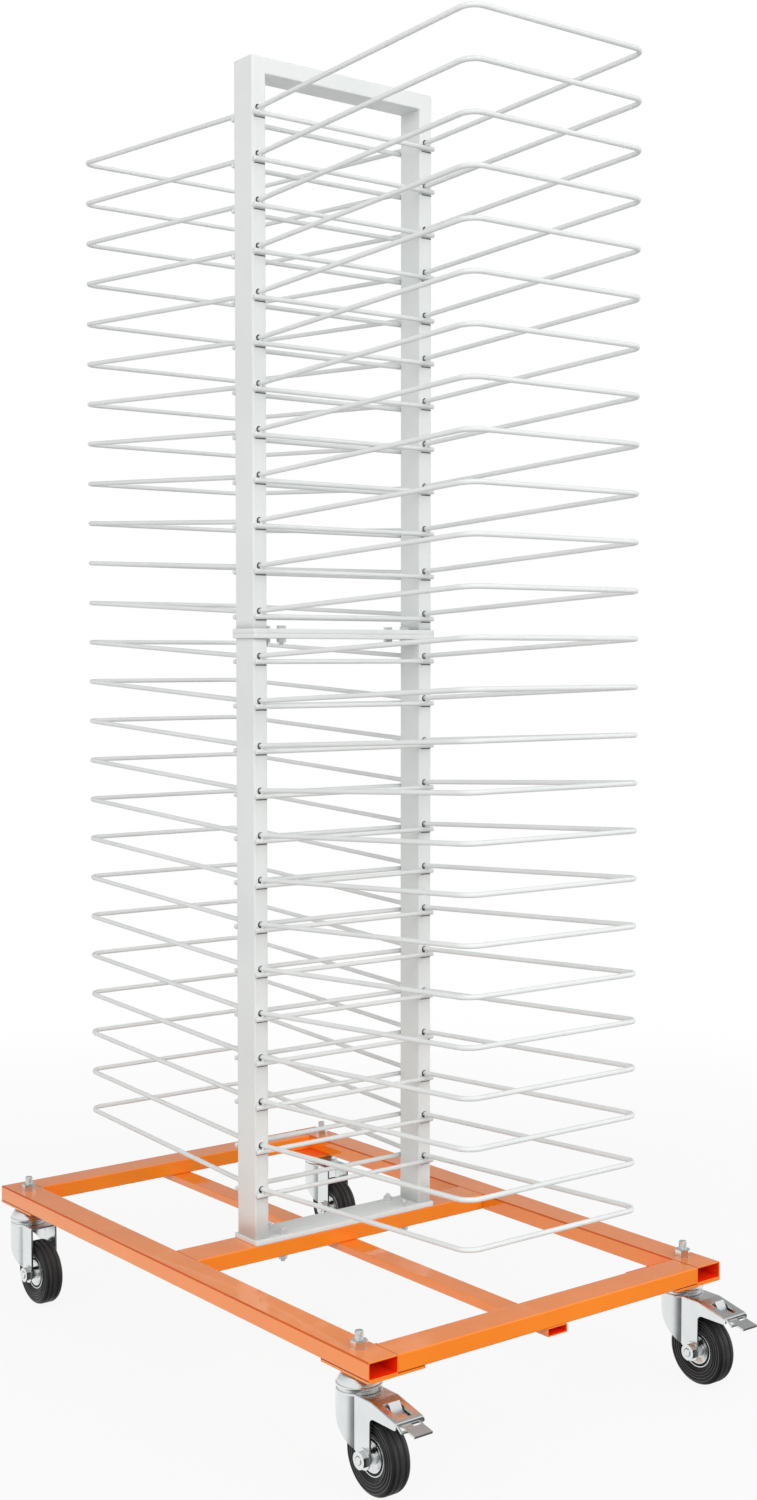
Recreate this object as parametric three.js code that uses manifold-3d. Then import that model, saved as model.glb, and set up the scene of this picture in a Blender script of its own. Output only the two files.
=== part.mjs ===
// Mobile drying rack: a tube base on four swivel casters, a two-part upright frame and wire shelves.
// Millimetres, +Z up, +X along the cross rails, +Y towards the back. Heights count from the floor.

import * as THREE from 'three';
import { mergeVertices } from 'three/addons/utils/BufferGeometryUtils.js';
import Module from 'manifold-3d';

const wasm = await Module();
wasm.setup();

// Base of flat tubes: outside sizes, walls and the corner plates below the rails
const BASE_WIDTH = 535;
const BASE_LENGTH = 828;
const RAIL_WIDTH = 40;
const RAIL_HEIGHT = 20;
const RAIL_WALL = 1.5;
const MIDDLE_RAIL_WIDTH = 50;
const STRINGER_WIDTH = 30;
const STRINGER_HEIGHT = 10;
const STRINGER_WALL = 1.2;
const GUSSET_THICKNESS = 3;
const GUSSET_REACH_X = 56;
const GUSSET_REACH_Y = 41.5;
const GUSSET_BLUNT = 8;

// Upright frame of rectangular tube with flat plates at the foot and at the joint
const FRAME_WIDTH = 280;
const POST_WIDTH = 20;
const POST_DEPTH = 40;
const POST_WALL = 1.5;
const PLATE_THICKNESS = 6;
const PLATE_OVERHANG = 2;
const FRAME_HEADROOM = 61.5;

// Wire shelves: levels in each half of the frame, spacing, reach from the post's face and upward slope
const LOWER_LEVELS = 13;
const UPPER_LEVELS = 12;
const SHELF_PITCH = 55;
const FIRST_LEVEL_HEIGHT = 63;
const SHELF_REACH = 391;
const SHELF_SLOPE_DEG = 2.86;
const WIRE_DIAMETER = 6;
const BEND_RADIUS = 18;
const WELD_DEPTH = 0.5;

// Studs that hold the plates, each with a nut above and below
const STUD_DIAMETER = 6;
const STUD_NUT_FLATS = 10;
const STUD_NUT_HEIGHT = 5;
const STUD_TAIL = 3.5;
const STUD_INSET = 23;
const STUD_EDGE = 8;

// Caster stem, its nut on the rail and the domed swivel head below the rail
const STEM_INSET = 42;
const STEM_DIAMETER = 10;
const STEM_NUT_FLATS = 16;
const STEM_NUT_HEIGHT = 8.5;
const STEM_TAIL = 10;
const STEM_CHAMFER = 0.8;
const HEAD_HEIGHT = 17.5;
const HEAD_RIM_RADIUS = 25.5;
const HEAD_RIM_HEIGHT = 2.8;
const HEAD_DOME_RADIUS = 23.6;
const HEAD_DOME_HEIGHT = 6.4;
const HEAD_SHOULDER_RADIUS = 20;
const HEAD_SHOULDER_DROP = 3;
const HEAD_SEAT_RADIUS = 14;
const KING_PIN_DIAMETER = 12;
const KING_PIN_FLANGE_RADIUS = 11;
const KING_PIN_FLANGE_HEIGHT = 2.5;

// Wheel: rubber tyre on a dished hub
const WHEEL_DIAMETER = 84;
const TYRE_WIDTH = 25;
const TYRE_SHOULDER = 5.5;
const TYRE_SHOULDER_CROWN = 1.6;
const TYRE_GROOVE_OFFSET = 4;
const TYRE_GROOVE_WIDTH = 2.4;
const TYRE_GROOVE_DEPTH = 1.6;
const HUB_DIAMETER = 42.8;
const HUB_RIM_WIDTH = 19.4;
const HUB_DISC_RADIUS = 17.2;
const HUB_DISH_DEPTH = 4.5;
const HUB_BOSS_RADIUS = 8;
const HUB_LENGTH = 32.4;
const AXLE_DIAMETER = 10;
const AXLE_NUT_FLATS = 17;
const AXLE_NUT_HEIGHT = 6;
const AXLE_WASHER_DIAMETER = 23;
const AXLE_WASHER_THICKNESS = 1.3;
const AXLE_HEAD_HEIGHT = 6.6;
const AXLE_TAIL = 0.8;

// Fork: pressed sheet with a round skirt behind, two legs, and a nose on the braked casters
const FORK_SHEET = 2.5;
const FORK_TRAIL = 33;
const FORK_CROWN_HEIGHT = 63.5;
const FORK_RACE_RADIUS = 24;
const FORK_RACE_HEIGHT = 2;
const FORK_SKIRT_RADIUS = 25.2;
const FORK_SKIRT_DROP = 9.5;
const FORK_SKIRT_BEND_REACH = 8;
const FORK_SKIRT_BEND_RISE = 8;
const FORK_LEG_END_RADIUS = 9;
const NOSE_REACH = 86;
const NOSE_BEND_REACH = 43.5;
const NOSE_TIP_DROP = 9.5;
const NOSE_TIP_HEIGHT = 7.7;
const ARCH_RADIUS = 7;
const WINDOW_WIDTH = 18;
const WINDOW_START = 56;
const WINDOW_LENGTH = 24;

// Brake pedal: a pin across the nose, a lever with a tab, a pad over the tyre and an upright tongue
const PEDAL_PIN_DIAMETER = 5;
const PEDAL_PIN_REACH = 48;
const PEDAL_PIN_DROP = 7.5;
const PEDAL_SHEET = 2.4;
const PEDAL_WIDTH = 24;
const PEDAL_REACH = 108;
const PEDAL_TAB_LENGTH = 16;
const PEDAL_TAB_DROP = 3.5;
const PEDAL_NOSE_GAP = 0.8;
const PAD_WIDTH = 18;
const PAD_THICKNESS = 3;
const PAD_GAP = 2.7;
const PAD_ANGLE_DEG = 118;
const TONGUE_WIDTH = 12;
const TONGUE_LENGTH = 12;
const TONGUE_LEAN_DEG = 30;

// Clearances and facets
const HOLE_GAP = 0.4;
const RUNNING_GAP = 0.3;
const SWIVEL_GAP = 0.4;
const BOND_GAP = 0.15;
const ROD_GAP = 0.1;
const CUT_MARGIN = 5;
const MERGE_DISTANCE = 0.0001;
const WIRE_SIDES = 6;
const BEND_STEPS = 2;
const HOLE_SIDES = 6;
const ROUND_SIDES = 12;
const WHEEL_SIDES = 20;
const ARC_STEPS = 5;

// Heights and places that follow from the sizes above
const AXLE_Z = WHEEL_DIAMETER / 2;
const CROWN_Z = AXLE_Z + FORK_CROWN_HEIGHT;
const GUSSET_Z = CROWN_Z + HEAD_HEIGHT;
const RAIL_Z = GUSSET_Z + GUSSET_THICKNESS;
const RAIL_TOP_Z = RAIL_Z + RAIL_HEIGHT;
const FOOT_TOP_Z = RAIL_TOP_Z + PLATE_THICKNESS;
const JOINT_Z = levelHeight(LOWER_LEVELS - 1) + SHELF_PITCH / 2;
const FRAME_TOP_Z = levelHeight(LOWER_LEVELS + UPPER_LEVELS - 1) + FRAME_HEADROOM;
const LEG_X = (FRAME_WIDTH - POST_WIDTH) / 2;
const STUD_X = FRAME_WIDTH / 2 - POST_WIDTH - STUD_INSET;
const STUD_Y = MIDDLE_RAIL_WIDTH / 2 - STUD_EDGE;
const STEM_X = (BASE_WIDTH - RAIL_WIDTH) / 2;
const STEM_Y = BASE_LENGTH / 2 - STEM_INSET;
const FORK_WIDTH = HUB_LENGTH + 2 * RUNNING_GAP + 2 * FORK_SHEET;
const WHEEL_CORNER_RADIUS = WHEEL_DIAMETER / 2 / Math.cos(Math.PI / WHEEL_SIDES);

const SIDES = [-1, 1];
const X_AXIS = new THREE.Vector3(1, 0, 0);
const Y_AXIS = new THREE.Vector3(0, 1, 0);
const Z_AXIS = new THREE.Vector3(0, 0, 1);
const ALONG_X = new THREE.Matrix4().makeBasis(Y_AXIS, Z_AXIS, X_AXIS);
const ALONG_Y = new THREE.Matrix4().makeBasis(Z_AXIS, X_AXIS, Y_AXIS);
const ALONG_Z = new THREE.Matrix4();

const WHITE_COAT = { color: 0xe3e6e4, roughness: 0.45, metalness: 0 };
const ORANGE_PAINT = { color: 0xff8423, roughness: 0.25, metalness: 0 };
const ZINC = { color: 0xc4cacc, roughness: 0.28, metalness: 0.9 };
const RUBBER = { color: 0x1d1d1e, roughness: 0.6, metalness: 0 };

// Height of a level's wires where they enter the posts' faces
function levelHeight(level) {
  return FOOT_TOP_Z + FIRST_LEVEL_HEIGHT + level * SHELF_PITCH;
}

// Closed geometry as a solid that can be joined and cut
function solid(geometry) {
  const bare = geometry.clone();
  bare.deleteAttribute('normal');
  bare.deleteAttribute('uv');
  const merged = mergeVertices(bare, MERGE_DISTANCE);
  const corners = merged.index.array;
  const kept = [];
  for (let i = 0; i < corners.length; i += 3) {
    const triangle = corners.slice(i, i + 3);
    if (new Set(triangle).size === 3) {
      kept.push(...triangle);
    }
  }
  return new wasm.Manifold(new wasm.Mesh({
    numProp: 3,
    vertProperties: new Float32Array(merged.attributes.position.array),
    triVerts: new Uint32Array(kept),
  }));
}

function joined(solids) {
  return solids.reduce((sum, next) => sum.add(next));
}

function cut(body, tools) {
  return body.subtract(joined(tools));
}

// Solid as a named mesh
function mesh(name, body, look) {
  const { vertProperties, triVerts } = body.getMesh();
  const geometry = new THREE.BufferGeometry();
  geometry.setAttribute('position', new THREE.BufferAttribute(vertProperties, 3));
  geometry.setIndex(new THREE.BufferAttribute(triVerts, 1));
  geometry.computeVertexNormals();
  const piece = new THREE.Mesh(geometry, new THREE.MeshStandardMaterial(look));
  piece.name = name;
  return piece;
}

function box(x0, x1, y0, y1, z0, z1) {
  const geometry = new THREE.BoxGeometry(x1 - x0, y1 - y0, z1 - z0);
  geometry.translate((x0 + x1) / 2, (y0 + y1) / 2, (z0 + z1) / 2);
  return solid(geometry);
}

// Prism of a flat outline. ALONG_X outlines hold (y, z), ALONG_Y (z, x) and ALONG_Z (x, y)
function prism(outline, from, to, basis) {
  const options = { depth: to - from, bevelEnabled: false, curveSegments: ARC_STEPS };
  const geometry = new THREE.ExtrudeGeometry(outline, options);
  geometry.translate(0, 0, from);
  return solid(geometry.applyMatrix4(basis));
}

function outlineOf(points) {
  return new THREE.Shape(points.map(([a, b]) => new THREE.Vector2(a, b)));
}

function polygon(a, b, radius, sides, phase = Math.PI / sides) {
  const points = [];
  for (let k = 0; k < sides; k += 1) {
    const angle = phase + (2 * Math.PI * k) / sides;
    points.push([a + radius * Math.cos(angle), b + radius * Math.sin(angle)]);
  }
  return outlineOf(points);
}

// Round hole whose facets stay outside its nominal size
function holeOutline(a, b, diameter) {
  return polygon(a, b, diameter / 2 / Math.cos(Math.PI / HOLE_SIDES), HOLE_SIDES);
}

function hexOutline(a, b, flats) {
  return polygon(a, b, flats / 2 / Math.cos(Math.PI / 6), 6);
}

// Strip of sheet along a line of (y, z) points, as its outline in the side view
function stripOutline(points, thickness) {
  const upper = [];
  const lower = [];
  points.forEach(([y, z], i) => {
    const [y0, z0] = points[Math.max(i - 1, 0)];
    const [y1, z1] = points[Math.min(i + 1, points.length - 1)];
    const length = Math.hypot(y1 - y0, z1 - z0);
    const offsetY = (-(z1 - z0) / length) * (thickness / 2);
    const offsetZ = ((y1 - y0) / length) * (thickness / 2);
    upper.push([y + offsetY, z + offsetZ]);
    lower.unshift([y - offsetY, z - offsetZ]);
  });
  return outlineOf([...upper, ...lower]);
}

// Solid of revolution of a (radius, height) profile, with a flat facet on each side of the axis
function revolved(profile, sides) {
  const points = profile.map(([radius, height]) => new THREE.Vector2(radius, height));
  return new THREE.LatheGeometry(points, sides, Math.PI / sides);
}

function revolvedAboutZ(profile, sides) {
  return solid(revolved(profile, sides).rotateX(Math.PI / 2));
}

function revolvedAboutX(profile, sides) {
  return solid(revolved(profile, sides).rotateZ(-Math.PI / 2));
}

// Flat tube along Y, hollow and open at both ends
function tubeAlongY(x, width, y0, y1, z0, height, wall) {
  const outer = box(x - width / 2, x + width / 2, y0, y1, z0, z0 + height);
  const bore = box(
    x - width / 2 + wall, x + width / 2 - wall,
    y0 - CUT_MARGIN, y1 + CUT_MARGIN,
    z0 + wall, z0 + height - wall,
  );
  return outer.subtract(bore);
}

// Corner plate below a side rail and the end of a cross rail, reaching past the stem both ways
function gusset(sideX, sideY) {
  const legX = RAIL_WIDTH / 2 + GUSSET_REACH_X;
  const legY = STEM_INSET + GUSSET_REACH_Y;
  const corner = [[0, 0], [legX, 0], [legX, GUSSET_BLUNT], [GUSSET_BLUNT, legY], [0, legY]];
  const outline = corner.map(([a, b]) => [
    sideX * (BASE_WIDTH / 2 - a),
    sideY * (BASE_LENGTH / 2 - b),
  ]);
  return prism(outlineOf(outline), GUSSET_Z, RAIL_Z, ALONG_Z);
}

function sideRail(name, sideX) {
  const half = BASE_LENGTH / 2;
  const tube = tubeAlongY(sideX * STEM_X, RAIL_WIDTH, -half, half, RAIL_Z, RAIL_HEIGHT, RAIL_WALL);
  const plates = SIDES.map((sideY) => gusset(sideX, sideY));
  const holes = SIDES.map((sideY) => {
    const outline = holeOutline(sideX * STEM_X, sideY * STEM_Y, STEM_DIAMETER + 2 * HOLE_GAP);
    return prism(outline, GUSSET_Z - CUT_MARGIN, RAIL_TOP_Z + CUT_MARGIN, ALONG_Z);
  });
  return mesh(name, cut(joined([tube, ...plates]), holes), ORANGE_PAINT);
}

// Flat tube between the side rails
function crossTube(y, width) {
  const end = BASE_WIDTH / 2 - RAIL_WIDTH;
  const outer = box(-end, end, y - width / 2, y + width / 2, RAIL_Z, RAIL_TOP_Z);
  const bore = box(
    -end - CUT_MARGIN, end + CUT_MARGIN,
    y - width / 2 + RAIL_WALL, y + width / 2 - RAIL_WALL,
    RAIL_Z + RAIL_WALL, RAIL_TOP_Z - RAIL_WALL,
  );
  return outer.subtract(bore);
}

// One cut for each of the four studs through a plate or a rail
function studHoles(z0, z1) {
  return SIDES.flatMap((sideX) => SIDES.map((sideY) => {
    const outline = holeOutline(sideX * STUD_X, sideY * STUD_Y, STUD_DIAMETER + 2 * HOLE_GAP);
    return prism(outline, z0 - CUT_MARGIN, z1 + CUT_MARGIN, ALONG_Z);
  }));
}

function base() {
  const group = new THREE.Group();
  const endY = (BASE_LENGTH - RAIL_WIDTH) / 2;
  const middle = cut(crossTube(0, MIDDLE_RAIL_WIDTH), studHoles(RAIL_Z, RAIL_TOP_Z));
  const stringer = tubeAlongY(
    0, STRINGER_WIDTH,
    -BASE_LENGTH / 2, BASE_LENGTH / 2,
    RAIL_Z - STRINGER_HEIGHT, STRINGER_HEIGHT,
    STRINGER_WALL,
  );
  group.add(
    sideRail('base_left_rail', -1),
    sideRail('base_right_rail', 1),
    mesh('base_front_rail', crossTube(-endY, RAIL_WIDTH), ORANGE_PAINT),
    mesh('base_middle_rail', middle, ORANGE_PAINT),
    mesh('base_back_rail', crossTube(endY, RAIL_WIDTH), ORANGE_PAINT),
    mesh('base_stringer', stringer, ORANGE_PAINT),
  );
  return group;
}

// Stud with a nut above the upper face and a nut below the lower face of what it clamps
function stud(name, sideX, sideY, z0, z1) {
  const x = sideX * STUD_X;
  const y = sideY * STUD_Y;
  const reach = STUD_NUT_HEIGHT + STUD_TAIL;
  const shank = prism(polygon(x, y, STUD_DIAMETER / 2, HOLE_SIDES), z0 - reach, z1 + reach, ALONG_Z);
  const upperNut = prism(hexOutline(x, y, STUD_NUT_FLATS), z1, z1 + STUD_NUT_HEIGHT, ALONG_Z);
  const lowerNut = prism(hexOutline(x, y, STUD_NUT_FLATS), z0 - STUD_NUT_HEIGHT, z0, ALONG_Z);
  return mesh(name, joined([shank, upperNut, lowerNut]), ZINC);
}

function studs(name, z0, z1) {
  const corners = SIDES.flatMap((sideY) => SIDES.map((sideX) => [sideX, sideY]));
  const group = new THREE.Group();
  corners.forEach(([sideX, sideY], i) => {
    group.add(stud(`${name}_${i + 1}`, sideX, sideY, z0, z1));
  });
  return group;
}

// Flat plate welded across the ends of both posts
function plate(z0) {
  const x = FRAME_WIDTH / 2 + PLATE_OVERHANG;
  const y = MIDDLE_RAIL_WIDTH / 2;
  return box(-x, x, -y, y, z0, z0 + PLATE_THICKNESS);
}

// Block in a post's place: its outside, or its inside when a wall is given
function postBlock(sideX, z0, z1, wall = 0) {
  const x0 = sideX * LEG_X - POST_WIDTH / 2 + wall;
  const y = POST_DEPTH / 2 - wall;
  return box(x0, x0 + POST_WIDTH - 2 * wall, -y, y, z0, z1);
}

// Cuts for the shelf wires through both posts on a row of levels
function wireHoles(firstLevel, count) {
  const y = POST_DEPTH / 2 + CUT_MARGIN;
  return SIDES.flatMap((sideX) => Array.from({ length: count }, (_, i) => {
    const outline = holeOutline(levelHeight(firstLevel + i), sideX * LEG_X, WIRE_DIAMETER + 2 * HOLE_GAP);
    return prism(outline, -y, y, ALONG_Y);
  }));
}

function lowerFrame() {
  const top = JOINT_Z - PLATE_THICKNESS;
  const posts = SIDES.map((sideX) => postBlock(sideX, RAIL_TOP_Z, JOINT_Z));
  const insides = SIDES.map((sideX) => postBlock(sideX, FOOT_TOP_Z, top, POST_WALL));
  const body = joined([plate(RAIL_TOP_Z), plate(top), ...posts]);
  const cuts = [
    ...insides,
    ...wireHoles(0, LOWER_LEVELS),
    ...studHoles(RAIL_TOP_Z, FOOT_TOP_Z),
    ...studHoles(top, JOINT_Z),
  ];
  return mesh('lower_frame', cut(body, cuts), WHITE_COAT);
}

function upperFrame() {
  const bottom = JOINT_Z + PLATE_THICKNESS;
  const x = FRAME_WIDTH / 2;
  const y = POST_DEPTH / 2;
  const posts = SIDES.map((sideX) => postBlock(sideX, JOINT_Z, FRAME_TOP_Z));
  const insides = SIDES.map((sideX) => postBlock(sideX, bottom, FRAME_TOP_Z - POST_WALL, POST_WALL));
  const topRail = box(-x, x, -y, y, FRAME_TOP_Z - POST_WIDTH, FRAME_TOP_Z);
  const topInside = box(
    -x + POST_WALL, x - POST_WALL,
    -y + POST_WALL, y - POST_WALL,
    FRAME_TOP_Z - POST_WIDTH + POST_WALL, FRAME_TOP_Z - POST_WALL,
  );
  const body = joined([plate(JOINT_Z), topRail, ...posts]);
  const cuts = [
    ...insides,
    topInside,
    ...wireHoles(LOWER_LEVELS, UPPER_LEVELS),
    ...studHoles(JOINT_Z, bottom),
  ];
  return mesh('upper_frame', cut(body, cuts), WHITE_COAT);
}

// Height of a level's wire at a distance from the middle of the posts
function wireHeight(level, y) {
  const slope = Math.tan(THREE.MathUtils.degToRad(SHELF_SLOPE_DEG));
  return levelHeight(level) + (Math.abs(y) - POST_DEPTH / 2) * slope;
}

// Centre line of a level's wires: a rounded loop that dips to the posts halfway along its sides
function shelfPath(level) {
  const bendX = LEG_X - BEND_RADIUS;
  const bendY = POST_DEPTH / 2 + SHELF_REACH - BEND_RADIUS;
  const flat = [[-LEG_X, 0]];
  const addBend = (sideX, sideY, startAngle) => {
    for (let i = 0; i <= BEND_STEPS; i += 1) {
      const angle = startAngle + (i / BEND_STEPS) * (Math.PI / 2);
      flat.push([
        sideX * bendX + BEND_RADIUS * Math.cos(angle),
        sideY * bendY + BEND_RADIUS * Math.sin(angle),
      ]);
    }
  };
  addBend(-1, -1, Math.PI);
  addBend(1, -1, -Math.PI / 2);
  flat.push([LEG_X, 0]);
  addBend(1, 1, 0);
  addBend(-1, 1, Math.PI / 2);
  return flat.map(([x, y]) => new THREE.Vector3(x, y, wireHeight(level, y)));
}

// Wire along a closed path, with a mitred ring of corners at each point of the path
function wireLoop(path, radius) {
  const count = path.length;
  const positions = [];
  path.forEach((point, i) => {
    const before = point.clone().sub(path[(i + count - 1) % count]).normalize();
    const after = path[(i + 1) % count].clone().sub(point).normalize();
    const along = before.clone().add(after).normalize();
    const side = new THREE.Vector3().crossVectors(along, Z_AXIS).normalize();
    const top = new THREE.Vector3().crossVectors(side, along);
    const mitre = radius / along.dot(after);
    for (let k = 0; k < WIRE_SIDES; k += 1) {
      const angle = (2 * Math.PI * k) / WIRE_SIDES;
      const corner = point.clone();
      corner.addScaledVector(side, mitre * Math.cos(angle));
      corner.addScaledVector(top, radius * Math.sin(angle));
      positions.push(corner.x, corner.y, corner.z);
    }
  });
  const index = [];
  for (let i = 0; i < count; i += 1) {
    for (let k = 0; k < WIRE_SIDES; k += 1) {
      const here = i * WIRE_SIDES;
      const there = ((i + 1) % count) * WIRE_SIDES;
      const next = (k + 1) % WIRE_SIDES;
      index.push(here + k, there + k, here + next);
      index.push(there + k, there + next, here + next);
    }
  }
  const geometry = new THREE.BufferGeometry();
  geometry.setAttribute('position', new THREE.Float32BufferAttribute(positions, 3));
  geometry.setIndex(index);
  return solid(geometry);
}

// One level: the wires to the front and the back, and the cross rods welded below their legs
function shelf(level) {
  const radius = WIRE_DIAMETER / 2;
  const flat = radius * Math.cos(Math.PI / WIRE_SIDES);
  const rodY = POST_DEPTH / 2 + ROD_GAP + flat;
  const rodZ = wireHeight(level, rodY) - flat - radius + WELD_DEPTH;
  const rods = SIDES.map((sideY) => {
    const outline = polygon(sideY * rodY, rodZ, radius, WIRE_SIDES, Math.PI / 2);
    return prism(outline, -FRAME_WIDTH / 2, FRAME_WIDTH / 2, ALONG_X);
  });
  const name = `shelf_${String(level + 1).padStart(2, '0')}`;
  return mesh(name, joined([wireLoop(shelfPath(level), radius), ...rods]), WHITE_COAT);
}

// Stem with its nut on the rail, the domed head below the rail and the king pin in the fork's crown
function casterStem(name) {
  const headZ = CROWN_Z + FORK_RACE_HEIGHT + SWIVEL_GAP;
  const flangeTopZ = CROWN_Z - FORK_SHEET - SWIVEL_GAP;
  const stemTopZ = RAIL_TOP_Z + STEM_NUT_HEIGHT + STEM_TAIL;
  const pinRadius = KING_PIN_DIAMETER / 2;
  const stemRadius = STEM_DIAMETER / 2;
  const profile = [
    [0, flangeTopZ - KING_PIN_FLANGE_HEIGHT],
    [KING_PIN_FLANGE_RADIUS, flangeTopZ - KING_PIN_FLANGE_HEIGHT],
    [KING_PIN_FLANGE_RADIUS, flangeTopZ],
    [pinRadius, flangeTopZ],
    [pinRadius, headZ],
    [HEAD_RIM_RADIUS, headZ],
    [HEAD_RIM_RADIUS, headZ + HEAD_RIM_HEIGHT],
    [HEAD_DOME_RADIUS, headZ + HEAD_DOME_HEIGHT],
    [HEAD_SHOULDER_RADIUS, GUSSET_Z - HEAD_SHOULDER_DROP],
    [HEAD_SEAT_RADIUS, GUSSET_Z],
    [stemRadius, GUSSET_Z],
    [stemRadius, stemTopZ - STEM_CHAMFER],
    [stemRadius - STEM_CHAMFER, stemTopZ],
    [0, stemTopZ],
  ];
  const body = revolvedAboutZ(profile, ROUND_SIDES);
  const nut = prism(hexOutline(0, 0, STEM_NUT_FLATS), RAIL_TOP_Z, RAIL_TOP_Z + STEM_NUT_HEIGHT, ALONG_Z);
  return mesh(name, body.add(nut), ZINC);
}

// Fork seen from above: a round skirt behind the stem and straight sides in front of it
function forkPlan(inset, frontY) {
  const radius = FORK_SKIRT_RADIUS - inset;
  const x = FORK_WIDTH / 2 - inset;
  const start = -Math.acos(x / radius);
  const outline = new THREE.Shape();
  outline.moveTo(x, frontY);
  outline.lineTo(x, radius * Math.sin(start));
  outline.absarc(0, 0, radius, start, Math.PI - start, false);
  outline.lineTo(-x, frontY);
  outline.closePath();
  return outline;
}

// Top line of the fork in the side view, from the skirt to the front, lowered by the given drop
function forkTopLine(braked, drop) {
  const back = [FORK_SKIRT_RADIUS + CUT_MARGIN, CROWN_Z - drop];
  if (!braked) {
    return [back, [-FORK_TRAIL - FORK_LEG_END_RADIUS, CROWN_Z - drop]];
  }
  return [back, [-NOSE_BEND_REACH, CROWN_Z - drop], [-NOSE_REACH, CROWN_Z - NOSE_TIP_DROP - drop]];
}

// Fork seen from the side: crown, legs with round ends, skirt edge and, with a brake, the nose
function forkSide(braked) {
  const frontY = -FORK_TRAIL - FORK_LEG_END_RADIUS;
  const archZ = CROWN_Z - NOSE_TIP_DROP - NOSE_TIP_HEIGHT;
  const outline = new THREE.Shape(forkTopLine(braked, 0).map(([y, z]) => new THREE.Vector2(y, z)));
  if (braked) {
    outline.lineTo(-NOSE_REACH, archZ);
    outline.lineTo(frontY - ARCH_RADIUS, archZ);
    outline.absarc(frontY - ARCH_RADIUS, archZ - ARCH_RADIUS, ARCH_RADIUS, Math.PI / 2, 0, true);
  }
  outline.absarc(-FORK_TRAIL, AXLE_Z, FORK_LEG_END_RADIUS, Math.PI, 2 * Math.PI, false);
  outline.quadraticCurveTo(
    -FORK_SKIRT_BEND_REACH, AXLE_Z + FORK_SKIRT_BEND_RISE,
    FORK_SKIRT_RADIUS + CUT_MARGIN, CROWN_Z - FORK_SKIRT_DROP,
  );
  outline.closePath();
  return outline;
}

// Space inside the fork below its crown, open at the front and below
function forkInside(braked) {
  const line = forkTopLine(braked, FORK_SHEET);
  const [frontY, frontZ] = line[line.length - 1];
  const outline = outlineOf([
    ...line,
    [frontY - CUT_MARGIN, frontZ],
    [frontY - CUT_MARGIN, -CUT_MARGIN],
    [FORK_SKIRT_RADIUS + CUT_MARGIN, -CUT_MARGIN],
  ]);
  const plan = prism(forkPlan(FORK_SHEET, frontY - CUT_MARGIN), -CUT_MARGIN, CROWN_Z, ALONG_Z);
  return plan.intersect(prism(outline, -FORK_SKIRT_RADIUS, FORK_SKIRT_RADIUS, ALONG_X));
}

// Axle bolt through both legs, with its washer and nut on the left and its head on the right
function axleBolt() {
  const x = FORK_WIDTH / 2;
  const washerEnd = -x - AXLE_WASHER_THICKNESS;
  const nutEnd = washerEnd - AXLE_NUT_HEIGHT;
  const shankOutline = polygon(-FORK_TRAIL, AXLE_Z, AXLE_DIAMETER / 2, ROUND_SIDES);
  const washerOutline = polygon(-FORK_TRAIL, AXLE_Z, AXLE_WASHER_DIAMETER / 2, ROUND_SIDES);
  return joined([
    prism(shankOutline, nutEnd - AXLE_TAIL, x, ALONG_X),
    prism(washerOutline, washerEnd, -x, ALONG_X),
    prism(hexOutline(-FORK_TRAIL, AXLE_Z, AXLE_NUT_FLATS), nutEnd, washerEnd, ALONG_X),
    prism(hexOutline(-FORK_TRAIL, AXLE_Z, AXLE_NUT_FLATS), x, x + AXLE_HEAD_HEIGHT, ALONG_X),
  ]);
}

function casterFork(name, braked) {
  const half = FORK_WIDTH / 2;
  const frontY = braked ? -NOSE_REACH : -FORK_TRAIL - FORK_LEG_END_RADIUS;
  const plan = prism(forkPlan(0, frontY), 0, CROWN_Z, ALONG_Z);
  const pressed = plan.intersect(prism(forkSide(braked), -FORK_SKIRT_RADIUS, FORK_SKIRT_RADIUS, ALONG_X));
  const raceOutline = polygon(0, 0, FORK_RACE_RADIUS, ROUND_SIDES);
  const race = prism(raceOutline, CROWN_Z - FORK_SHEET / 2, CROWN_Z + FORK_RACE_HEIGHT, ALONG_Z);
  const outer = pressed.add(race);
  const kingPinHole = holeOutline(0, 0, KING_PIN_DIAMETER + 2 * SWIVEL_GAP);
  const cuts = [
    forkInside(braked),
    prism(kingPinHole, CROWN_Z - FORK_SHEET - CUT_MARGIN, CROWN_Z + CUT_MARGIN, ALONG_Z),
  ];
  if (braked) {
    const pinHole = holeOutline(-PEDAL_PIN_REACH, CROWN_Z - PEDAL_PIN_DROP, PEDAL_PIN_DIAMETER + 2 * HOLE_GAP);
    const windowEnd = WINDOW_START + WINDOW_LENGTH;
    cuts.push(
      prism(pinHole, -half - CUT_MARGIN, half + CUT_MARGIN, ALONG_X),
      box(-WINDOW_WIDTH / 2, WINDOW_WIDTH / 2, -windowEnd, -WINDOW_START, AXLE_Z, CROWN_Z),
    );
  }
  return mesh(name, cut(outer, cuts).add(axleBolt()), ZINC);
}

function wheelHub(name) {
  const bore = AXLE_DIAMETER / 2 + RUNNING_GAP;
  const boreCorner = bore / Math.cos(Math.PI / WHEEL_SIDES);
  const rimRadius = HUB_DIAMETER / 2;
  const rimX = HUB_RIM_WIDTH / 2;
  const endX = HUB_LENGTH / 2;
  const profile = [
    [boreCorner, -endX],
    [HUB_BOSS_RADIUS, -endX],
    [HUB_BOSS_RADIUS, -rimX + HUB_DISH_DEPTH],
    [HUB_DISC_RADIUS, -rimX],
    [rimRadius, -rimX],
    [rimRadius, rimX],
    [HUB_DISC_RADIUS, rimX],
    [HUB_BOSS_RADIUS, rimX - HUB_DISH_DEPTH],
    [HUB_BOSS_RADIUS, endX],
    [boreCorner, endX],
    [boreCorner, -endX],
  ];
  return mesh(name, revolvedAboutX(profile, WHEEL_SIDES), ZINC);
}

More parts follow.
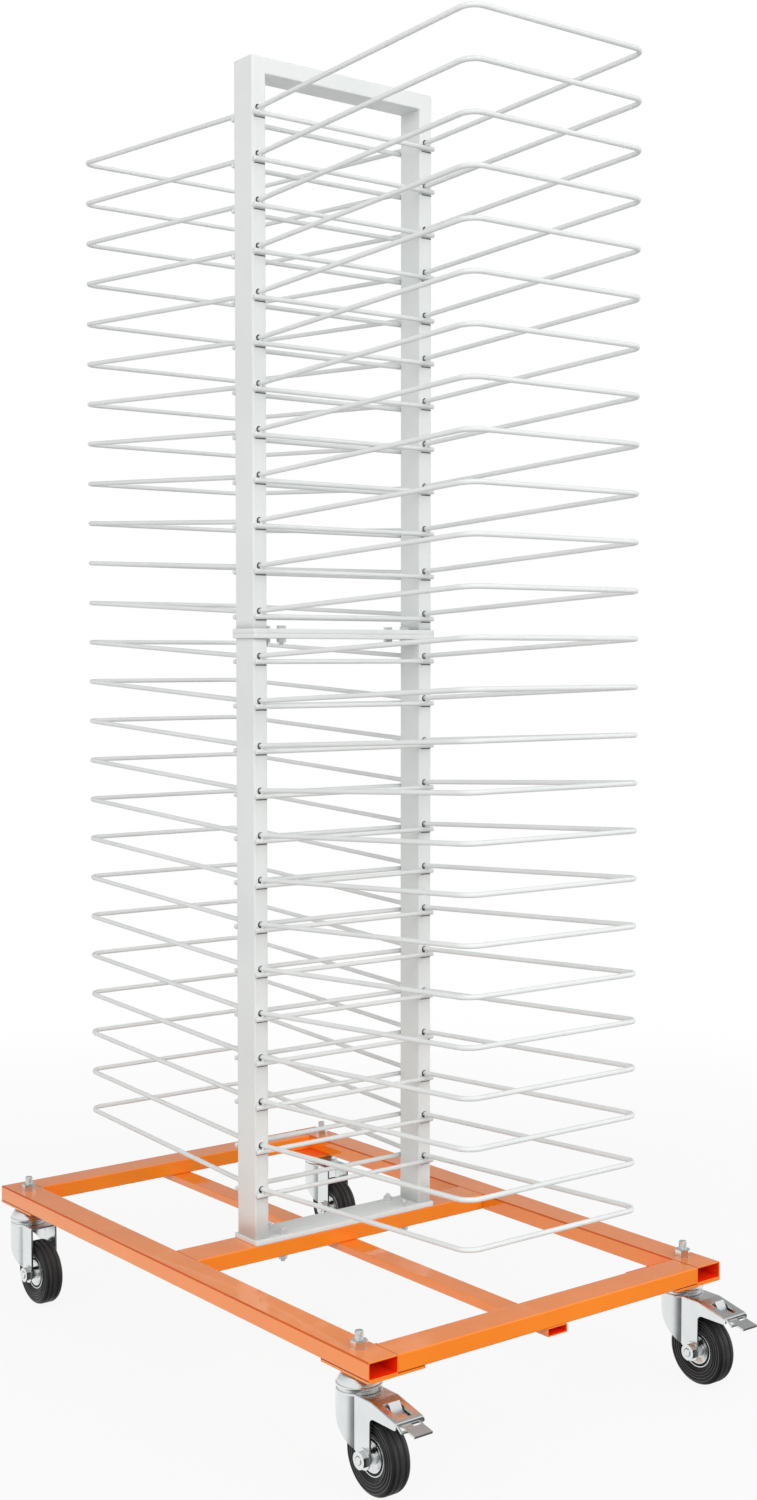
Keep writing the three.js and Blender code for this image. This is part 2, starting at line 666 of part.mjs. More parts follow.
function wheelTyre(name) {
  const inner = HUB_DIAMETER / 2 + BOND_GAP;
  const outer = WHEEL_CORNER_RADIUS;
  const side = TYRE_WIDTH / 2;
  const half = [
    [outer - TYRE_SHOULDER, side],
    [outer - TYRE_SHOULDER_CROWN, side - TYRE_SHOULDER_CROWN],
    [outer, side - TYRE_SHOULDER],
    [outer, TYRE_GROOVE_OFFSET + TYRE_GROOVE_WIDTH / 2],
    [outer - TYRE_GROOVE_DEPTH, TYRE_GROOVE_OFFSET],
    [outer, TYRE_GROOVE_OFFSET - TYRE_GROOVE_WIDTH / 2],
  ];
  const left = half.map(([radius, x]) => [radius, -x]);
  const profile = [[inner, -side], ...left, ...half.reverse(), [inner, side], [inner, -side]];
  return mesh(name, revolvedAboutX(profile, WHEEL_SIDES), RUBBER);
}

// Pedal of a braked caster, released: its pin crosses the nose and its tab stands out in front
function brakePedal(name) {
  const pinY = -PEDAL_PIN_REACH;
  const pinZ = CROWN_Z - PEDAL_PIN_DROP;
  const noseZ = CROWN_Z - NOSE_TIP_DROP - FORK_SHEET - PEDAL_NOSE_GAP - PEDAL_SHEET / 2;
  const tabY = -PEDAL_REACH + PEDAL_TAB_LENGTH;
  const fall = (pinZ - noseZ) / (NOSE_REACH - PEDAL_PIN_REACH);
  const leverZ = (y) => pinZ + (y - pinY) * fall;
  const tabTip = [-PEDAL_REACH, leverZ(tabY) - PEDAL_TAB_DROP];
  const lever = stripOutline([[pinY, pinZ], [tabY, leverZ(tabY)], tabTip], PEDAL_SHEET);
  const padAngle = THREE.MathUtils.degToRad(PAD_ANGLE_DEG);
  const padRadius = WHEEL_CORNER_RADIUS + PAD_GAP;
  const padEnd = [-FORK_TRAIL + padRadius * Math.cos(padAngle), AXLE_Z + padRadius * Math.sin(padAngle)];
  const pad = stripOutline([[pinY, pinZ], padEnd], PAD_THICKNESS);
  const lean = THREE.MathUtils.degToRad(TONGUE_LEAN_DEG);
  const tongueTopY = -WINDOW_START - PEDAL_SHEET;
  const tongueFootY = tongueTopY - TONGUE_LENGTH * Math.sin(lean);
  const tongueFootZ = leverZ(tongueFootY);
  const tongueTopZ = tongueFootZ + TONGUE_LENGTH * Math.cos(lean);
  const tongue = stripOutline([[tongueFootY, tongueFootZ], [tongueTopY, tongueTopZ]], PEDAL_SHEET);
  const pin = polygon(pinY, pinZ, PEDAL_PIN_DIAMETER / 2, HOLE_SIDES);
  const body = joined([
    prism(pin, -FORK_WIDTH / 2, FORK_WIDTH / 2, ALONG_X),
    prism(lever, -PEDAL_WIDTH / 2, PEDAL_WIDTH / 2, ALONG_X),
    prism(pad, -PAD_WIDTH / 2, PAD_WIDTH / 2, ALONG_X),
    prism(tongue, -TONGUE_WIDTH / 2, TONGUE_WIDTH / 2, ALONG_X),
  ]);
  return mesh(name, body, ZINC);
}

// Caster in its own group: the stem's axis is the group's Z axis and the wheel trails towards the front
function caster(name, sideX, sideY, braked) {
  const group = new THREE.Group();
  group.position.set(sideX * STEM_X, sideY * STEM_Y, 0);
  const wheel = new THREE.Group();
  wheel.position.set(0, -FORK_TRAIL, AXLE_Z);
  wheel.add(wheelHub(`${name}_hub`), wheelTyre(`${name}_tyre`));
  group.add(casterStem(`${name}_stem`), casterFork(`${name}_fork`, braked), wheel);
  if (braked) {
    group.add(brakePedal(`${name}_brake`));
  }
  return group;
}

const rack = new THREE.Group();
rack.add(
  base(),
  lowerFrame(),
  upperFrame(),
  studs('foot_stud', RAIL_Z, FOOT_TOP_Z),
  studs('joint_stud', JOINT_Z - PLATE_THICKNESS, JOINT_Z + PLATE_THICKNESS),
  caster('caster_fl', -1, -1, true),
  caster('caster_fr', 1, -1, true),
  caster('caster_bl', -1, 1, false),
  caster('caster_br', 1, 1, false),
);
for (let level = 0; level < LOWER_LEVELS + UPPER_LEVELS; level += 1) {
  rack.add(shelf(level));
}

// The origin lies on the floor below the middle of the rack's outline
const bounds = new THREE.Box3().setFromObject(rack);
const middle = bounds.getCenter(new THREE.Vector3());
rack.position.set(-middle.x, -middle.y, -bounds.min.z);
rack.updateMatrixWorld(true);

export default rack;
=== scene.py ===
import math

import bmesh
import bpy
import numpy as np
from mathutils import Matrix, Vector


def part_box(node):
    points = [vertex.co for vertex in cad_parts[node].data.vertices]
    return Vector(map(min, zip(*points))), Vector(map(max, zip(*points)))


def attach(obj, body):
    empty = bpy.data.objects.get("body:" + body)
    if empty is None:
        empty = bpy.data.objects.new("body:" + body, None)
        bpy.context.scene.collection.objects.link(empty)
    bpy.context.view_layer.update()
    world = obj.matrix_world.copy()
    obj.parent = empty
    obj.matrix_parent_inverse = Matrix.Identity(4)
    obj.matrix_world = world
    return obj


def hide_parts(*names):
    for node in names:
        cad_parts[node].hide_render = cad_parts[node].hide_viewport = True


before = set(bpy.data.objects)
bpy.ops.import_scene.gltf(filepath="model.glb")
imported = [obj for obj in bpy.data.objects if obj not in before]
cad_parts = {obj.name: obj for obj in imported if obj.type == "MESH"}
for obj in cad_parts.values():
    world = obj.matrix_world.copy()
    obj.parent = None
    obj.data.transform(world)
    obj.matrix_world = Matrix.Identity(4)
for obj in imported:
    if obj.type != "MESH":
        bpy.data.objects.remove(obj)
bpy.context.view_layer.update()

MM = 0.001

# Side rails: two flat steel tubes that lie along the depth of the rack, sawn square and left open at both
# ends. The whole base is welded up from such tubes and painted a glossy orange, inside the open ends too,
# where a deeper red is painted shade.
# Every piece below is measured in millimetres from the floor under the middle of the upright frame.
upper_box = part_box("upper_frame")
RACK_MIDDLE = np.array([np.mean([corner[axis] for corner in upper_box]) / MM for axis in (0, 1)] + [0.0])
BASE_WIDTH = 535.0
BASE_LENGTH = 828.0
RAIL_WIDTH = 40.0
RAIL_HEIGHT = 20.0
RAIL_WALL = 1.5
RAIL_CORNER = 1.6
RAIL_LIP = 0.5
RAIL_Z = 126.0
RAIL_TOP = RAIL_Z + RAIL_HEIGHT
INSIDE_MARGIN = np.array([2.2, 0.8, 2.2])
FLAT_MARGIN = 0.4
LEAST_RADIUS = 0.2
MERGE_STEPS = 2000


def grid(points, wrap_rows=False, wrap_columns=False):
    """Quads between neighbours in an array of rows x columns x 3. A wrapped side runs on into its start."""
    rows, columns = points.shape[:2]
    index = np.arange(rows * columns).reshape(rows, columns)
    if wrap_rows:
        index = np.concatenate([index, index[:1]])
    if wrap_columns:
        index = np.concatenate([index, index[:, :1]], axis=1)
    corners = [index[:-1, :-1], index[:-1, 1:], index[1:, 1:], index[1:, :-1]]
    return points.reshape(-1, 3), np.stack(corners, axis=-1).reshape(-1, 4)


def xyz(x, y, z):
    """Points from three arrays of coordinates, each stretched to the shape of all."""
    return np.stack(np.broadcast_arrays(x, y, z), axis=-1)


def unit(vectors):
    """Vectors drawn out to the length 1."""
    return vectors / np.linalg.norm(vectors, axis=-1, keepdims=True)


def sleeve(points):
    """Grid whose columns close into rings."""
    return grid(points, wrap_columns=True)


def hoop(points):
    """Grid that closes both ways, as a ring of tube does."""
    return grid(points, wrap_rows=True, wrap_columns=True)


def mirrored(points, flip):
    """Points, followed by their mirror image in the opposite order."""
    return np.concatenate([points, points[::-1] * flip])


def merge_points(points):
    """First of each group of equal points, and the group of every point."""
    keys = np.round(points * MERGE_STEPS).astype(np.int64)
    _, first, group = np.unique(keys, axis=0, return_index=True, return_inverse=True)
    return first, group.reshape(-1)


def lay_piece(name, skins, finish, body, crease=35.0):
    """One object from several (points, quads) skins. Equal points are merged, so seams close, and a row that
    is drawn into a single point leaves a fan of triangles. Edges sharper than the crease stay sharp."""
    starts = np.cumsum([0] + [len(points) for points, _ in skins])
    points = np.concatenate([points for points, _ in skins])
    quads = np.concatenate([quads + start for (_, quads), start in zip(skins, starts)])
    first, group = merge_points(points)
    quads = group[quads]
    kept = quads != np.roll(quads, 1, axis=1)
    quads, kept = quads[kept.sum(axis=1) > 2], kept[kept.sum(axis=1) > 2]
    sizes = kept.sum(axis=1)
    corners = quads[kept]
    mesh = bpy.data.meshes.new(name)
    mesh.vertices.add(len(first))
    mesh.vertices.foreach_set("co", ((points[first] + RACK_MIDDLE) * MM).ravel())
    mesh.loops.add(len(corners))
    mesh.loops.foreach_set("vertex_index", corners.astype(np.int32))
    mesh.polygons.add(len(sizes))
    mesh.polygons.foreach_set("loop_start", (np.cumsum(sizes) - sizes).astype(np.int32))
    mesh.update(calc_edges=True)
    mesh.validate()
    skin = bmesh.new()
    skin.from_mesh(mesh)
    bmesh.ops.recalc_face_normals(skin, faces=skin.faces)
    skin.to_mesh(mesh)
    skin.free()
    mesh.shade_smooth()
    mesh.set_sharp_from_angle(angle=math.radians(crease))
    mesh.materials.append(finish)
    piece = bpy.data.objects.new(name, mesh)
    bpy.context.scene.collection.objects.link(piece)
    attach(piece, body)
    return piece


def tube_section(width, height, corner, inset=0.0):
    """Rounded rectangle drawn in by the inset, as (across, up) points: four quarter circles, each with a
    point on the flat at both ends."""
    radius = max(corner - inset, LEAST_RADIUS)
    reach = np.array([width, height]) / 2 - inset - radius
    quarter = np.linspace(0, np.pi / 2, 5)
    arc = np.stack([np.cos(quarter), np.sin(quarter)], axis=1) * radius
    arc = np.concatenate([[[radius, -FLAT_MARGIN]], arc, [[-FLAT_MARGIN, radius]]])
    turns = [np.array([[c, s], [-s, c]]) for c, s in ((1, 0), (0, 1), (-1, 0), (0, -1))]
    signs = ((1, 1), (-1, 1), (-1, -1), (1, -1))
    return np.concatenate([arc @ turn + reach * sign for turn, sign in zip(turns, signs)])


def hollow_tube(width, height, corner, wall, length):
    """Skin of an open tube as (across, along, up): the section runs along the outside, round the lip at one
    end, back along the inside and round the other lip."""
    bend = np.linspace(0, np.pi / 2, 4)
    lip_y = length / 2 - RAIL_LIP
    outer = np.stack([RAIL_LIP - RAIL_LIP * np.cos(bend), lip_y + RAIL_LIP * np.sin(bend)], axis=1)
    inner = np.stack([wall - RAIL_LIP + RAIL_LIP * np.sin(bend), lip_y + RAIL_LIP * np.cos(bend)], axis=1)
    support = length / 2 - 3 * RAIL_LIP
    end = np.concatenate([[[0, support]], outer, inner, [[wall, support]]])
    rows = mirrored(end, [1, -1])
    sections = np.stack([tube_section(width, height, corner, inset) for inset in rows[:, 0]])
    return xyz(sections[..., 0], rows[:, 1:], sections[..., 1])


def add_shader(finish, kind, inputs, **settings):
    """A shader node with its inputs set by name, or linked where the value is another node's output."""
    node = finish.node_tree.nodes.new("ShaderNode" + kind)
    for key, value in settings.items():
        setattr(node, key, value)
    for key, value in inputs.items():
        if isinstance(value, bpy.types.NodeSocket):
            finish.node_tree.links.new(value, node.inputs[key])
        else:
            node.inputs[key].default_value = value
    return node


def cloudy(finish, scale, detail, stops):
    """Soft noise over the object's own coordinates, spread over colour stops of (position, colour)."""
    place = add_shader(finish, "TexCoord", {}).outputs["Object"]
    noise = add_shader(finish, "TexNoise", {"Vector": place, "Scale": scale, "Detail": detail})
    ramp = add_shader(finish, "ValToRGB", {"Fac": noise.outputs["Fac"]})
    for element, (position, colour) in zip(ramp.color_ramp.elements, stops):
        element.position = position
        element.color = (*colour, 1.0)
    return ramp.outputs["Color"]


def new_finish(slot, colours, gloss, texture, specular=0.5, **constants):
    """Finish of one material slot: drifting colour, roughness that varies between two values and a fine grain
    in the relief. The texture holds the scale of each and the grain's strength; the rest is even all over."""
    finish = bpy.data.materials.new(slot + "_finish")
    finish.use_nodes = True
    finish["slot"] = slot
    surface = finish.node_tree.nodes["Principled BSDF"]
    for key, value in {"Specular_IOR_Level": specular, **constants}.items():
        surface.inputs[key.replace("_", " ")].default_value = value
    dull, bright = [(value, value, value) for value in gloss]
    drift = cloudy(finish, texture[0], 4.0, ((0.35, colours[0]), (0.65, colours[1])))
    sheen = cloudy(finish, texture[1], 5.0, ((0.3, dull), (0.7, bright)))
    relief = cloudy(finish, texture[2], 2.0, ((0.2, (0, 0, 0)), (0.8, (1, 1, 1))))
    bump = add_shader(finish, "Bump", {"Height": relief, "Strength": texture[3], "Distance": 0.0002})
    for output, key in ((drift, "Base Color"), (sheen, "Roughness"), (bump.outputs["Normal"], "Normal")):
        finish.node_tree.links.new(output, surface.inputs[key])
    return finish


ORANGE_TEXTURE = (9.0, 45.0, 900.0, 0.04)
SHADED_EDGE_NORMAL = np.array([-1.0, 0.0, 1.0]) / math.sqrt(2)
SHADED_EDGE_SPREAD = 0.8
orange_paint = new_finish(
    "orange_paint", ((0.95, 0.236, 0.010), (1.0, 0.258, 0.013)), (0.3, 0.4), ORANGE_TEXTURE, 0.15,
    Coat_Weight=1.0, Coat_Roughness=0.06, Coat_IOR=1.68,
)
# painted shade: a deeper red for the inside of the open tube ends
orange_inside_shade = new_finish(
    "orange_paint", ((0.96, 0.030, 0.003), (1.0, 0.040, 0.004)), (0.4, 0.5), ORANGE_TEXTURE, 0.1,
)
# painted shade: darker orange for the rounded edges that face up and to the left
orange_edge_shade = new_finish(
    "orange_paint", ((0.60, 0.104, 0.014), (0.66, 0.115, 0.016)), (0.4, 0.5), ORANGE_TEXTURE, 0.3,
)


def face_vectors(piece, key):
    """The "center" or the "normal" of each face of a piece."""
    vectors = np.empty(len(piece.data.polygons) * 3)
    piece.data.polygons.foreach_get(key, vectors)
    return vectors.reshape(-1, 3)


def repaint(piece, chosen, finish):
    """Another finish on the chosen faces of a piece, where they still have its first one."""
    faces = piece.data.polygons
    kind = np.empty(len(faces), dtype=np.int32)
    faces.foreach_get("material_index", kind)
    kind[chosen & (kind == 0)] = len(piece.data.materials)
    piece.data.materials.append(finish)
    faces.foreach_set("material_index", kind)


def paint_within(piece, centre, opening, finish):
    """Another finish on the faces whose middles lie within an opening round a centre."""
    off_centre = np.abs(face_vectors(piece, "center") / MM - RACK_MIDDLE - centre)
    repaint(piece, np.all(off_centre < np.array(opening) / 2, axis=1), finish)


rail_x = (BASE_WIDTH - RAIL_WIDTH) / 2
rail_mid_z = RAIL_Z + RAIL_HEIGHT / 2
for side, name in ((-1, "base_left_rail"), (1, "base_right_rail")):
    centre = [side * rail_x, 0, rail_mid_z]
    rail = hollow_tube(RAIL_WIDTH, RAIL_HEIGHT, RAIL_CORNER, RAIL_WALL, BASE_LENGTH) + centre
    piece = lay_piece(name + "_tube", [hoop(rail)], orange_paint, "rack")
    # painted shade: a deeper red inside the open ends
    paint_within(piece, centre, [RAIL_WIDTH, BASE_LENGTH, RAIL_HEIGHT] - INSIDE_MARGIN, orange_inside_shade)
    # the rounded edge between the left side and the top is darker: painted shade
    repaint(piece, face_vectors(piece, "normal") @ SHADED_EDGE_NORMAL > SHADED_EDGE_SPREAD, orange_edge_shade)
    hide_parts(name)

# Corner plates: flat steel cut to a rectangle, the back pair a little narrower, and welded below each end of
# the side rails. They tie the corner together and give the caster's head a flat seat. Their tops lie deep
# between the rails, and a deeper red on them is painted shade.
PLATE_ACROSS = 76.0
BACK_PLATE_ACROSS = 67.0
PLATE_ALONG = 83.5
PLATE_DEPTH = 3.0
PLATE_EDGE = 0.4
PLATE_SKIN = 0.1
# painted shade: a deeper red for the tops of the corner plates
orange_corner_shade = new_finish(
    "orange_paint", ((0.98, 0.13, 0.012), (1.0, 0.145, 0.013)), (0.4, 0.5), ORANGE_TEXTURE, 0.15,
)


def rectangle(across, along):
    """Corners of the rectangle between two values across and two along, in order round it."""
    return np.array([(across[i], along[j]) for i, j in ((0, 0), (1, 0), (1, 1), (0, 1))])


def plate_skin(outline, low, high, edge):
    """Flat plate over a convex outline of (x, y) points: its rim is drawn in by the edge radius at the top
    and the bottom, and both faces close to a point in the middle."""
    ahead = unit(np.roll(outline, -1, axis=0) - outline)
    normal = np.stack([ahead[:, 1], -ahead[:, 0]], axis=1)
    before = np.roll(normal, 1, axis=0)
    mitre = (normal + before) / (1 + np.sum(normal * before, axis=1, keepdims=True))
    inward = np.sign(np.sum(mitre * (outline.mean(axis=0) - outline)))
    bend = np.linspace(0, np.pi / 2, 4)
    inset = mirrored(edge - edge * np.sin(bend), 1)
    height = np.concatenate([low + edge - edge * np.cos(bend), (high - edge + edge * np.cos(bend))[::-1]])
    rim = outline + inward * mitre * inset[:, None, None]
    middle = rim[:1] * 0 + outline.mean(axis=0)
    rim = np.concatenate([middle, rim, middle])
    height = np.concatenate([[low], height, [high]])
    return sleeve(xyz(rim[..., 0], rim[..., 1], height[:, None]))


for side_x, across in ((-1, "left"), (1, "right")):
    for side_y, along, width in ((-1, "front", PLATE_ACROSS), (1, "back", BACK_PLATE_ACROSS)):
        sheet = rectangle((0, width), (0, PLATE_ALONG))
        outline = (np.array([BASE_WIDTH, BASE_LENGTH]) / 2 - sheet) * [side_x, side_y]
        skin = plate_skin(outline, RAIL_Z - PLATE_DEPTH, RAIL_Z, PLATE_EDGE)
        piece = lay_piece(f"corner_plate_{along}_{across}", [skin], orange_paint, "rack")
        centre = [*outline.mean(axis=0), RAIL_Z]
        # painted shade on the plate's top
        paint_within(piece, centre, (width, PLATE_ALONG, PLATE_SKIN), orange_corner_shade)

# Cross rails: three tubes of the same height, sawn to fit between the side rails and butted against them.
# The middle one is wider, to carry the foot of the upright frame.
MIDDLE_RAIL_WIDTH = 50.0
cross_length = BASE_WIDTH - 2 * RAIL_WIDTH
cross_y = (BASE_LENGTH - RAIL_WIDTH) / 2
cross_rails = (
    ("base_front_rail", -cross_y, RAIL_WIDTH),
    ("base_middle_rail", 0.0, MIDDLE_RAIL_WIDTH),
    ("base_back_rail", cross_y, RAIL_WIDTH),
)
for name, y, width in cross_rails:
    rail = hollow_tube(width, RAIL_HEIGHT, RAIL_CORNER, RAIL_WALL, cross_length)[..., [1, 0, 2]]
    piece = lay_piece(name + "_tube", [hoop(rail + [0, y, rail_mid_z])], orange_paint, "rack")
    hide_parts(name)

# Base seams: narrow gaps stay open where the corner plates lie against the rails and where the cross rails
# are butted to the side rails. Thin dark bars laid in them are painted shade for the shadow in the gaps.
GAP_FACE = 0.1
GAP_ROOT = 1.2
GAP_LOW = -0.2
GAP_HIGH = 0.9
GAP_EDGE = 0.05
JOINT_HALF = 0.6
JOINT_DIP = 0.35
JOINT_DEPTH = 1.6
# painted shade: dark red-brown for the bars in the gaps
orange_gap_shade = new_finish(
    "orange_paint", ((0.20, 0.026, 0.006), (0.26, 0.034, 0.007)), (0.5, 0.6), ORANGE_TEXTURE, 0.1,
)


def shade_bar_skin(across, along, low, high):
    """Thin dark bar of painted shade between two values across, two along and two heights."""
    return plate_skin(rectangle(across, along), low, high, GAP_EDGE)


skins = []
for side_x in (-1, 1):
    outer_x = side_x * (BASE_WIDTH / 2 - np.array([GAP_ROOT, GAP_FACE]))
    joint_x = side_x * cross_length / 2 + np.array([-JOINT_HALF, JOINT_HALF])
    for side_y, width in ((-1, PLATE_ACROSS), (1, BACK_PLATE_ACROSS)):
        under_x = side_x * (BASE_WIDTH / 2 - np.array([width, RAIL_WIDTH]))
        outer_y = side_y * (BASE_LENGTH / 2 - np.array([PLATE_ALONG, GAP_FACE]))
        under_y = side_y * (BASE_LENGTH / 2 - np.array([GAP_ROOT, GAP_FACE]))
        for across, along in ((outer_x, outer_y), (under_x, under_y)):
            skins.append(shade_bar_skin(across, along, RAIL_Z + GAP_LOW, RAIL_Z + GAP_HIGH))
    for name, y, width in cross_rails:
        joint_y = y + np.array([-1, 1]) * (width / 2 - RAIL_CORNER)
        top = RAIL_TOP - JOINT_DIP
        skins.append(shade_bar_skin(joint_x, joint_y, top - JOINT_DEPTH, top))
lay_piece("base_gap_shade_strips", skins, orange_gap_shade, "rack")

# Stringer: a low flat tube that runs under the three cross rails down the middle of the base, open at both
# ends, where it shows below the front rail.
STRINGER_WIDTH = 30.0
STRINGER_HEIGHT = 10.0
STRINGER_WALL = 1.2
STRINGER_CORNER = 1.2
centre = [0, 0, RAIL_Z - STRINGER_HEIGHT / 2]
stringer = hollow_tube(STRINGER_WIDTH, STRINGER_HEIGHT, STRINGER_CORNER, STRINGER_WALL, BASE_LENGTH) + centre
piece = lay_piece("base_stringer_tube", [hoop(stringer)], orange_paint, "rack")
# painted shade: a deeper red inside the open ends
paint_within(piece, centre, [STRINGER_WIDTH, BASE_LENGTH, STRINGER_HEIGHT] - INSIDE_MARGIN, orange_inside_shade)
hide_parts("base_stringer")

# Lower frame: two rectangular posts with a row of punched holes down their front and back faces, welded
# between a foot plate and a joint plate. Frame and shelves have a white powder coat with a slight grain.
FRAME_WIDTH = 280.0
POST_WIDTH = 20.0
POST_DEPTH = 40.0
POST_FACE = POST_DEPTH / 2
POST_WALL = 1.5
POST_CORNER = 2.0
FACE_HALF = POST_WIDTH / 2 - POST_CORNER - FLAT_MARGIN
FACE_BAND = np.array([-1, -0.5, 0, 0.5, 1]) * FACE_HALF
HOLE_RADIUS = 4.1
HOLE_SHIFT = np.array([-1.0, -0.35])
HOLE_RIM = 0.5
RIM_SHARE = 0.65
FLAT_PLATE = 6.0
FLAT_PLATE_OVERHANG = 2.0
FLAT_PLATE_CORNER = 2.5
FLAT_PLATE_EDGE = 0.7
PITCH = 55.0
LOWER_LEVELS = 13
UPPER_LEVELS = 12
FIRST_LEVEL = 63.0
ABOVE_LAST_LEVEL = 61.5
FOOT_TOP = RAIL_TOP + FLAT_PLATE
WHITE_TEXTURE = (7.0, 60.0, 1300.0, 0.09)
STEEL_TEXTURE = (40.0, 60.0, 1300.0, 0.05)
level_z = FOOT_TOP + FIRST_LEVEL + PITCH * np.arange(LOWER_LEVELS + UPPER_LEVELS)
joint_z = level_z[LOWER_LEVELS - 1] + PITCH / 2
frame_top = level_z[-1] + ABOVE_LAST_LEVEL
post_x = (FRAME_WIDTH - POST_WIDTH) / 2

white_coat = new_finish(
    "white_coat", ((0.735, 0.762, 0.752), (0.785, 0.806, 0.795)), (0.36, 0.5), WHITE_TEXTURE, 0.45,
)
# dark bare steel inside the posts, also painted shade in their holes and painted shadow under the rods
bare_steel_and_shade = new_finish(
    "white_coat", ((0.085, 0.088, 0.087), (0.115, 0.119, 0.117)), (0.5, 0.65), STEEL_TEXTURE, 0.3,
)


def cell_heights(levels, low, high):
    """Heights of the nine rows of points up each side of each level's cell, close together at the hole."""
    spread = np.array([-1, -0.5, -0.26, -0.12, 0, 0.12, 0.26, 0.5, 1])
    middles = (levels[1:] + levels[:-1]) / 2
    below = levels - np.concatenate([[low], middles])
    above = np.concatenate([middles, [high]]) - levels
    return levels[:, None] + np.where(spread < 0, below[:, None], above[:, None]) * spread


def pierced_faces(x, levels, low, high):
    """Front and back face of a post with a round hole in each cell: rings of 24 points spread from the
    hole's circle to the cell's border, whose points the neighbouring cells and the post's sides share."""
    rows = cell_heights(levels, low, high)
    right, left = np.full(8, FACE_HALF), np.full(8, -FACE_HALF)
    border_x = np.concatenate([FACE_BAND[:4], right, FACE_BAND[:0:-1], left])
    bottom, top = rows[:, :1].repeat(4, axis=1), rows[:, -1:].repeat(4, axis=1)
    border_z = np.concatenate([bottom, rows[:, :8], top, rows[:, :0:-1]], axis=1) - levels[:, None]
    turn = np.radians(np.arange(24) * 15.0 - 120.0)
    circle = np.stack([np.cos(turn), np.sin(turn)], axis=1)
    hole = circle * HOLE_RADIUS + HOLE_SHIFT
    near = circle * (HOLE_RADIUS + HOLE_RIM) + HOLE_SHIFT
    skins = []
    for middle, offset_z in zip(levels, border_z):
        border = np.stack([border_x, offset_z], axis=1)
        rings = np.stack([hole, near, near * RIM_SHARE + border * (1 - RIM_SHARE), border])
        for face_y in (-POST_FACE, POST_FACE):
            skins.append(sleeve(xyz(x + rings[..., 0], face_y, middle + rings[..., 1])))
    return skins


def side_profile():
    """One narrow side of the post's section as (outward, depth), with both its rounded corners."""
    quarter = np.linspace(0, np.pi / 2, 5)
    arc = np.stack([np.sin(quarter), np.cos(quarter)], axis=1) * POST_CORNER
    arc += [POST_WIDTH / 2 - POST_CORNER, POST_FACE - POST_CORNER]
    face, flat = [FACE_HALF, POST_FACE], [POST_WIDTH / 2, POST_FACE - POST_CORNER - FLAT_MARGIN]
    return mirrored(np.concatenate([[face], arc, [flat]]), [1, -1])


def along_frame(profile, centres, outward):
    """Profile of (outward, depth) points carried through stations of (x, z) centres, each with its own
    outward direction; at a mitred corner that direction is the sum of both sides'."""
    spot = centres[:, None] + profile[None, :, :1] * outward[:, None]
    return xyz(spot[..., 0], profile[:, 1], spot[..., 1])


def wall_inside(piece):
    """Gives the posts their wall, with bare steel where the coat did not reach: inside and in the holes. Its
    dark colour is also painted shade in the holes.
    """
    piece.data.materials.append(bare_steel_and_shade)
    wall = piece.modifiers.new("wall", "SOLIDIFY")
    wall.material_offset = 1
    wall.material_offset_rim = 1
    wall.thickness = POST_WALL * MM
    wall.offset = -1.0
    wall.use_even_offset = True


def flat_plate(name, low):
    """Plate with rounded corners and edges across the ends of both posts."""
    outline = tube_section(FRAME_WIDTH + 2 * FLAT_PLATE_OVERHANG, MIDDLE_RAIL_WIDTH, FLAT_PLATE_CORNER)
    lay_piece(name, [plate_skin(outline, low, low + FLAT_PLATE, FLAT_PLATE_EDGE)], white_coat, "rack")


lower_levels = level_z[:LOWER_LEVELS]
lower_top = joint_z - FLAT_PLATE
skins = []
for side in (-1, 1):
    heights = np.unique(np.round(cell_heights(lower_levels, FOOT_TOP, lower_top), 4))
    centres = np.stack([np.full(len(heights), side * post_x), heights], axis=1)
    for outward in (-1.0, 1.0):
        directions = np.tile([outward, 0.0], (len(heights), 1))
        skins.append(grid(along_frame(side_profile(), centres, directions)))
    skins += pierced_faces(side * post_x, lower_levels, FOOT_TOP, lower_top)
lower_posts = lay_piece("lower_posts", skins, white_coat, "rack")
wall_inside(lower_posts)
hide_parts("lower_frame")
flat_plate("foot_plate", RAIL_TOP)
flat_plate("lower_joint_plate", lower_top)

# Upper frame: the same posts, mitred at the top into a rail between them, on a joint plate of their own that
# is bolted to the one below.
upper_levels = level_z[LOWER_LEVELS:]
upper_bottom = joint_z + FLAT_PLATE
cells_top = level_z[-1] + PITCH / 2
corner_z = frame_top - POST_WIDTH / 2
heights = np.unique(np.round(cell_heights(upper_levels, upper_bottom, cells_top), 4))
climb = np.stack([np.full(len(heights), -post_x), heights], axis=1)
centres = mirrored(np.concatenate([climb, [[-post_x, corner_z]]]), [-1, 1])
aside = np.tile([-1.0, 0.0], (len(heights), 1))
outward = mirrored(np.concatenate([aside, [[-1.0, 1.0]]]), [-1, 1])
skins = [grid(along_frame(side_profile() * [sign, 1], centres, outward)) for sign in (-1, 1)]
bridge = slice(len(heights) - 1, len(heights) + 3)
for face_y in (-POST_FACE, POST_FACE):
    profile = np.stack([FACE_BAND, np.full(len(FACE_BAND), face_y)], axis=1)
    skins.append(grid(along_frame(profile, centres[bridge], outward[bridge])))
for side in (-1, 1):
    skins += pierced_faces(side * post_x, upper_levels, upper_bottom, cells_top)
upper_posts = lay_piece("upper_posts", skins, white_coat, "rack")
wall_inside(upper_posts)
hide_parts("upper_frame")
flat_plate("upper_joint_plate", joint_z)

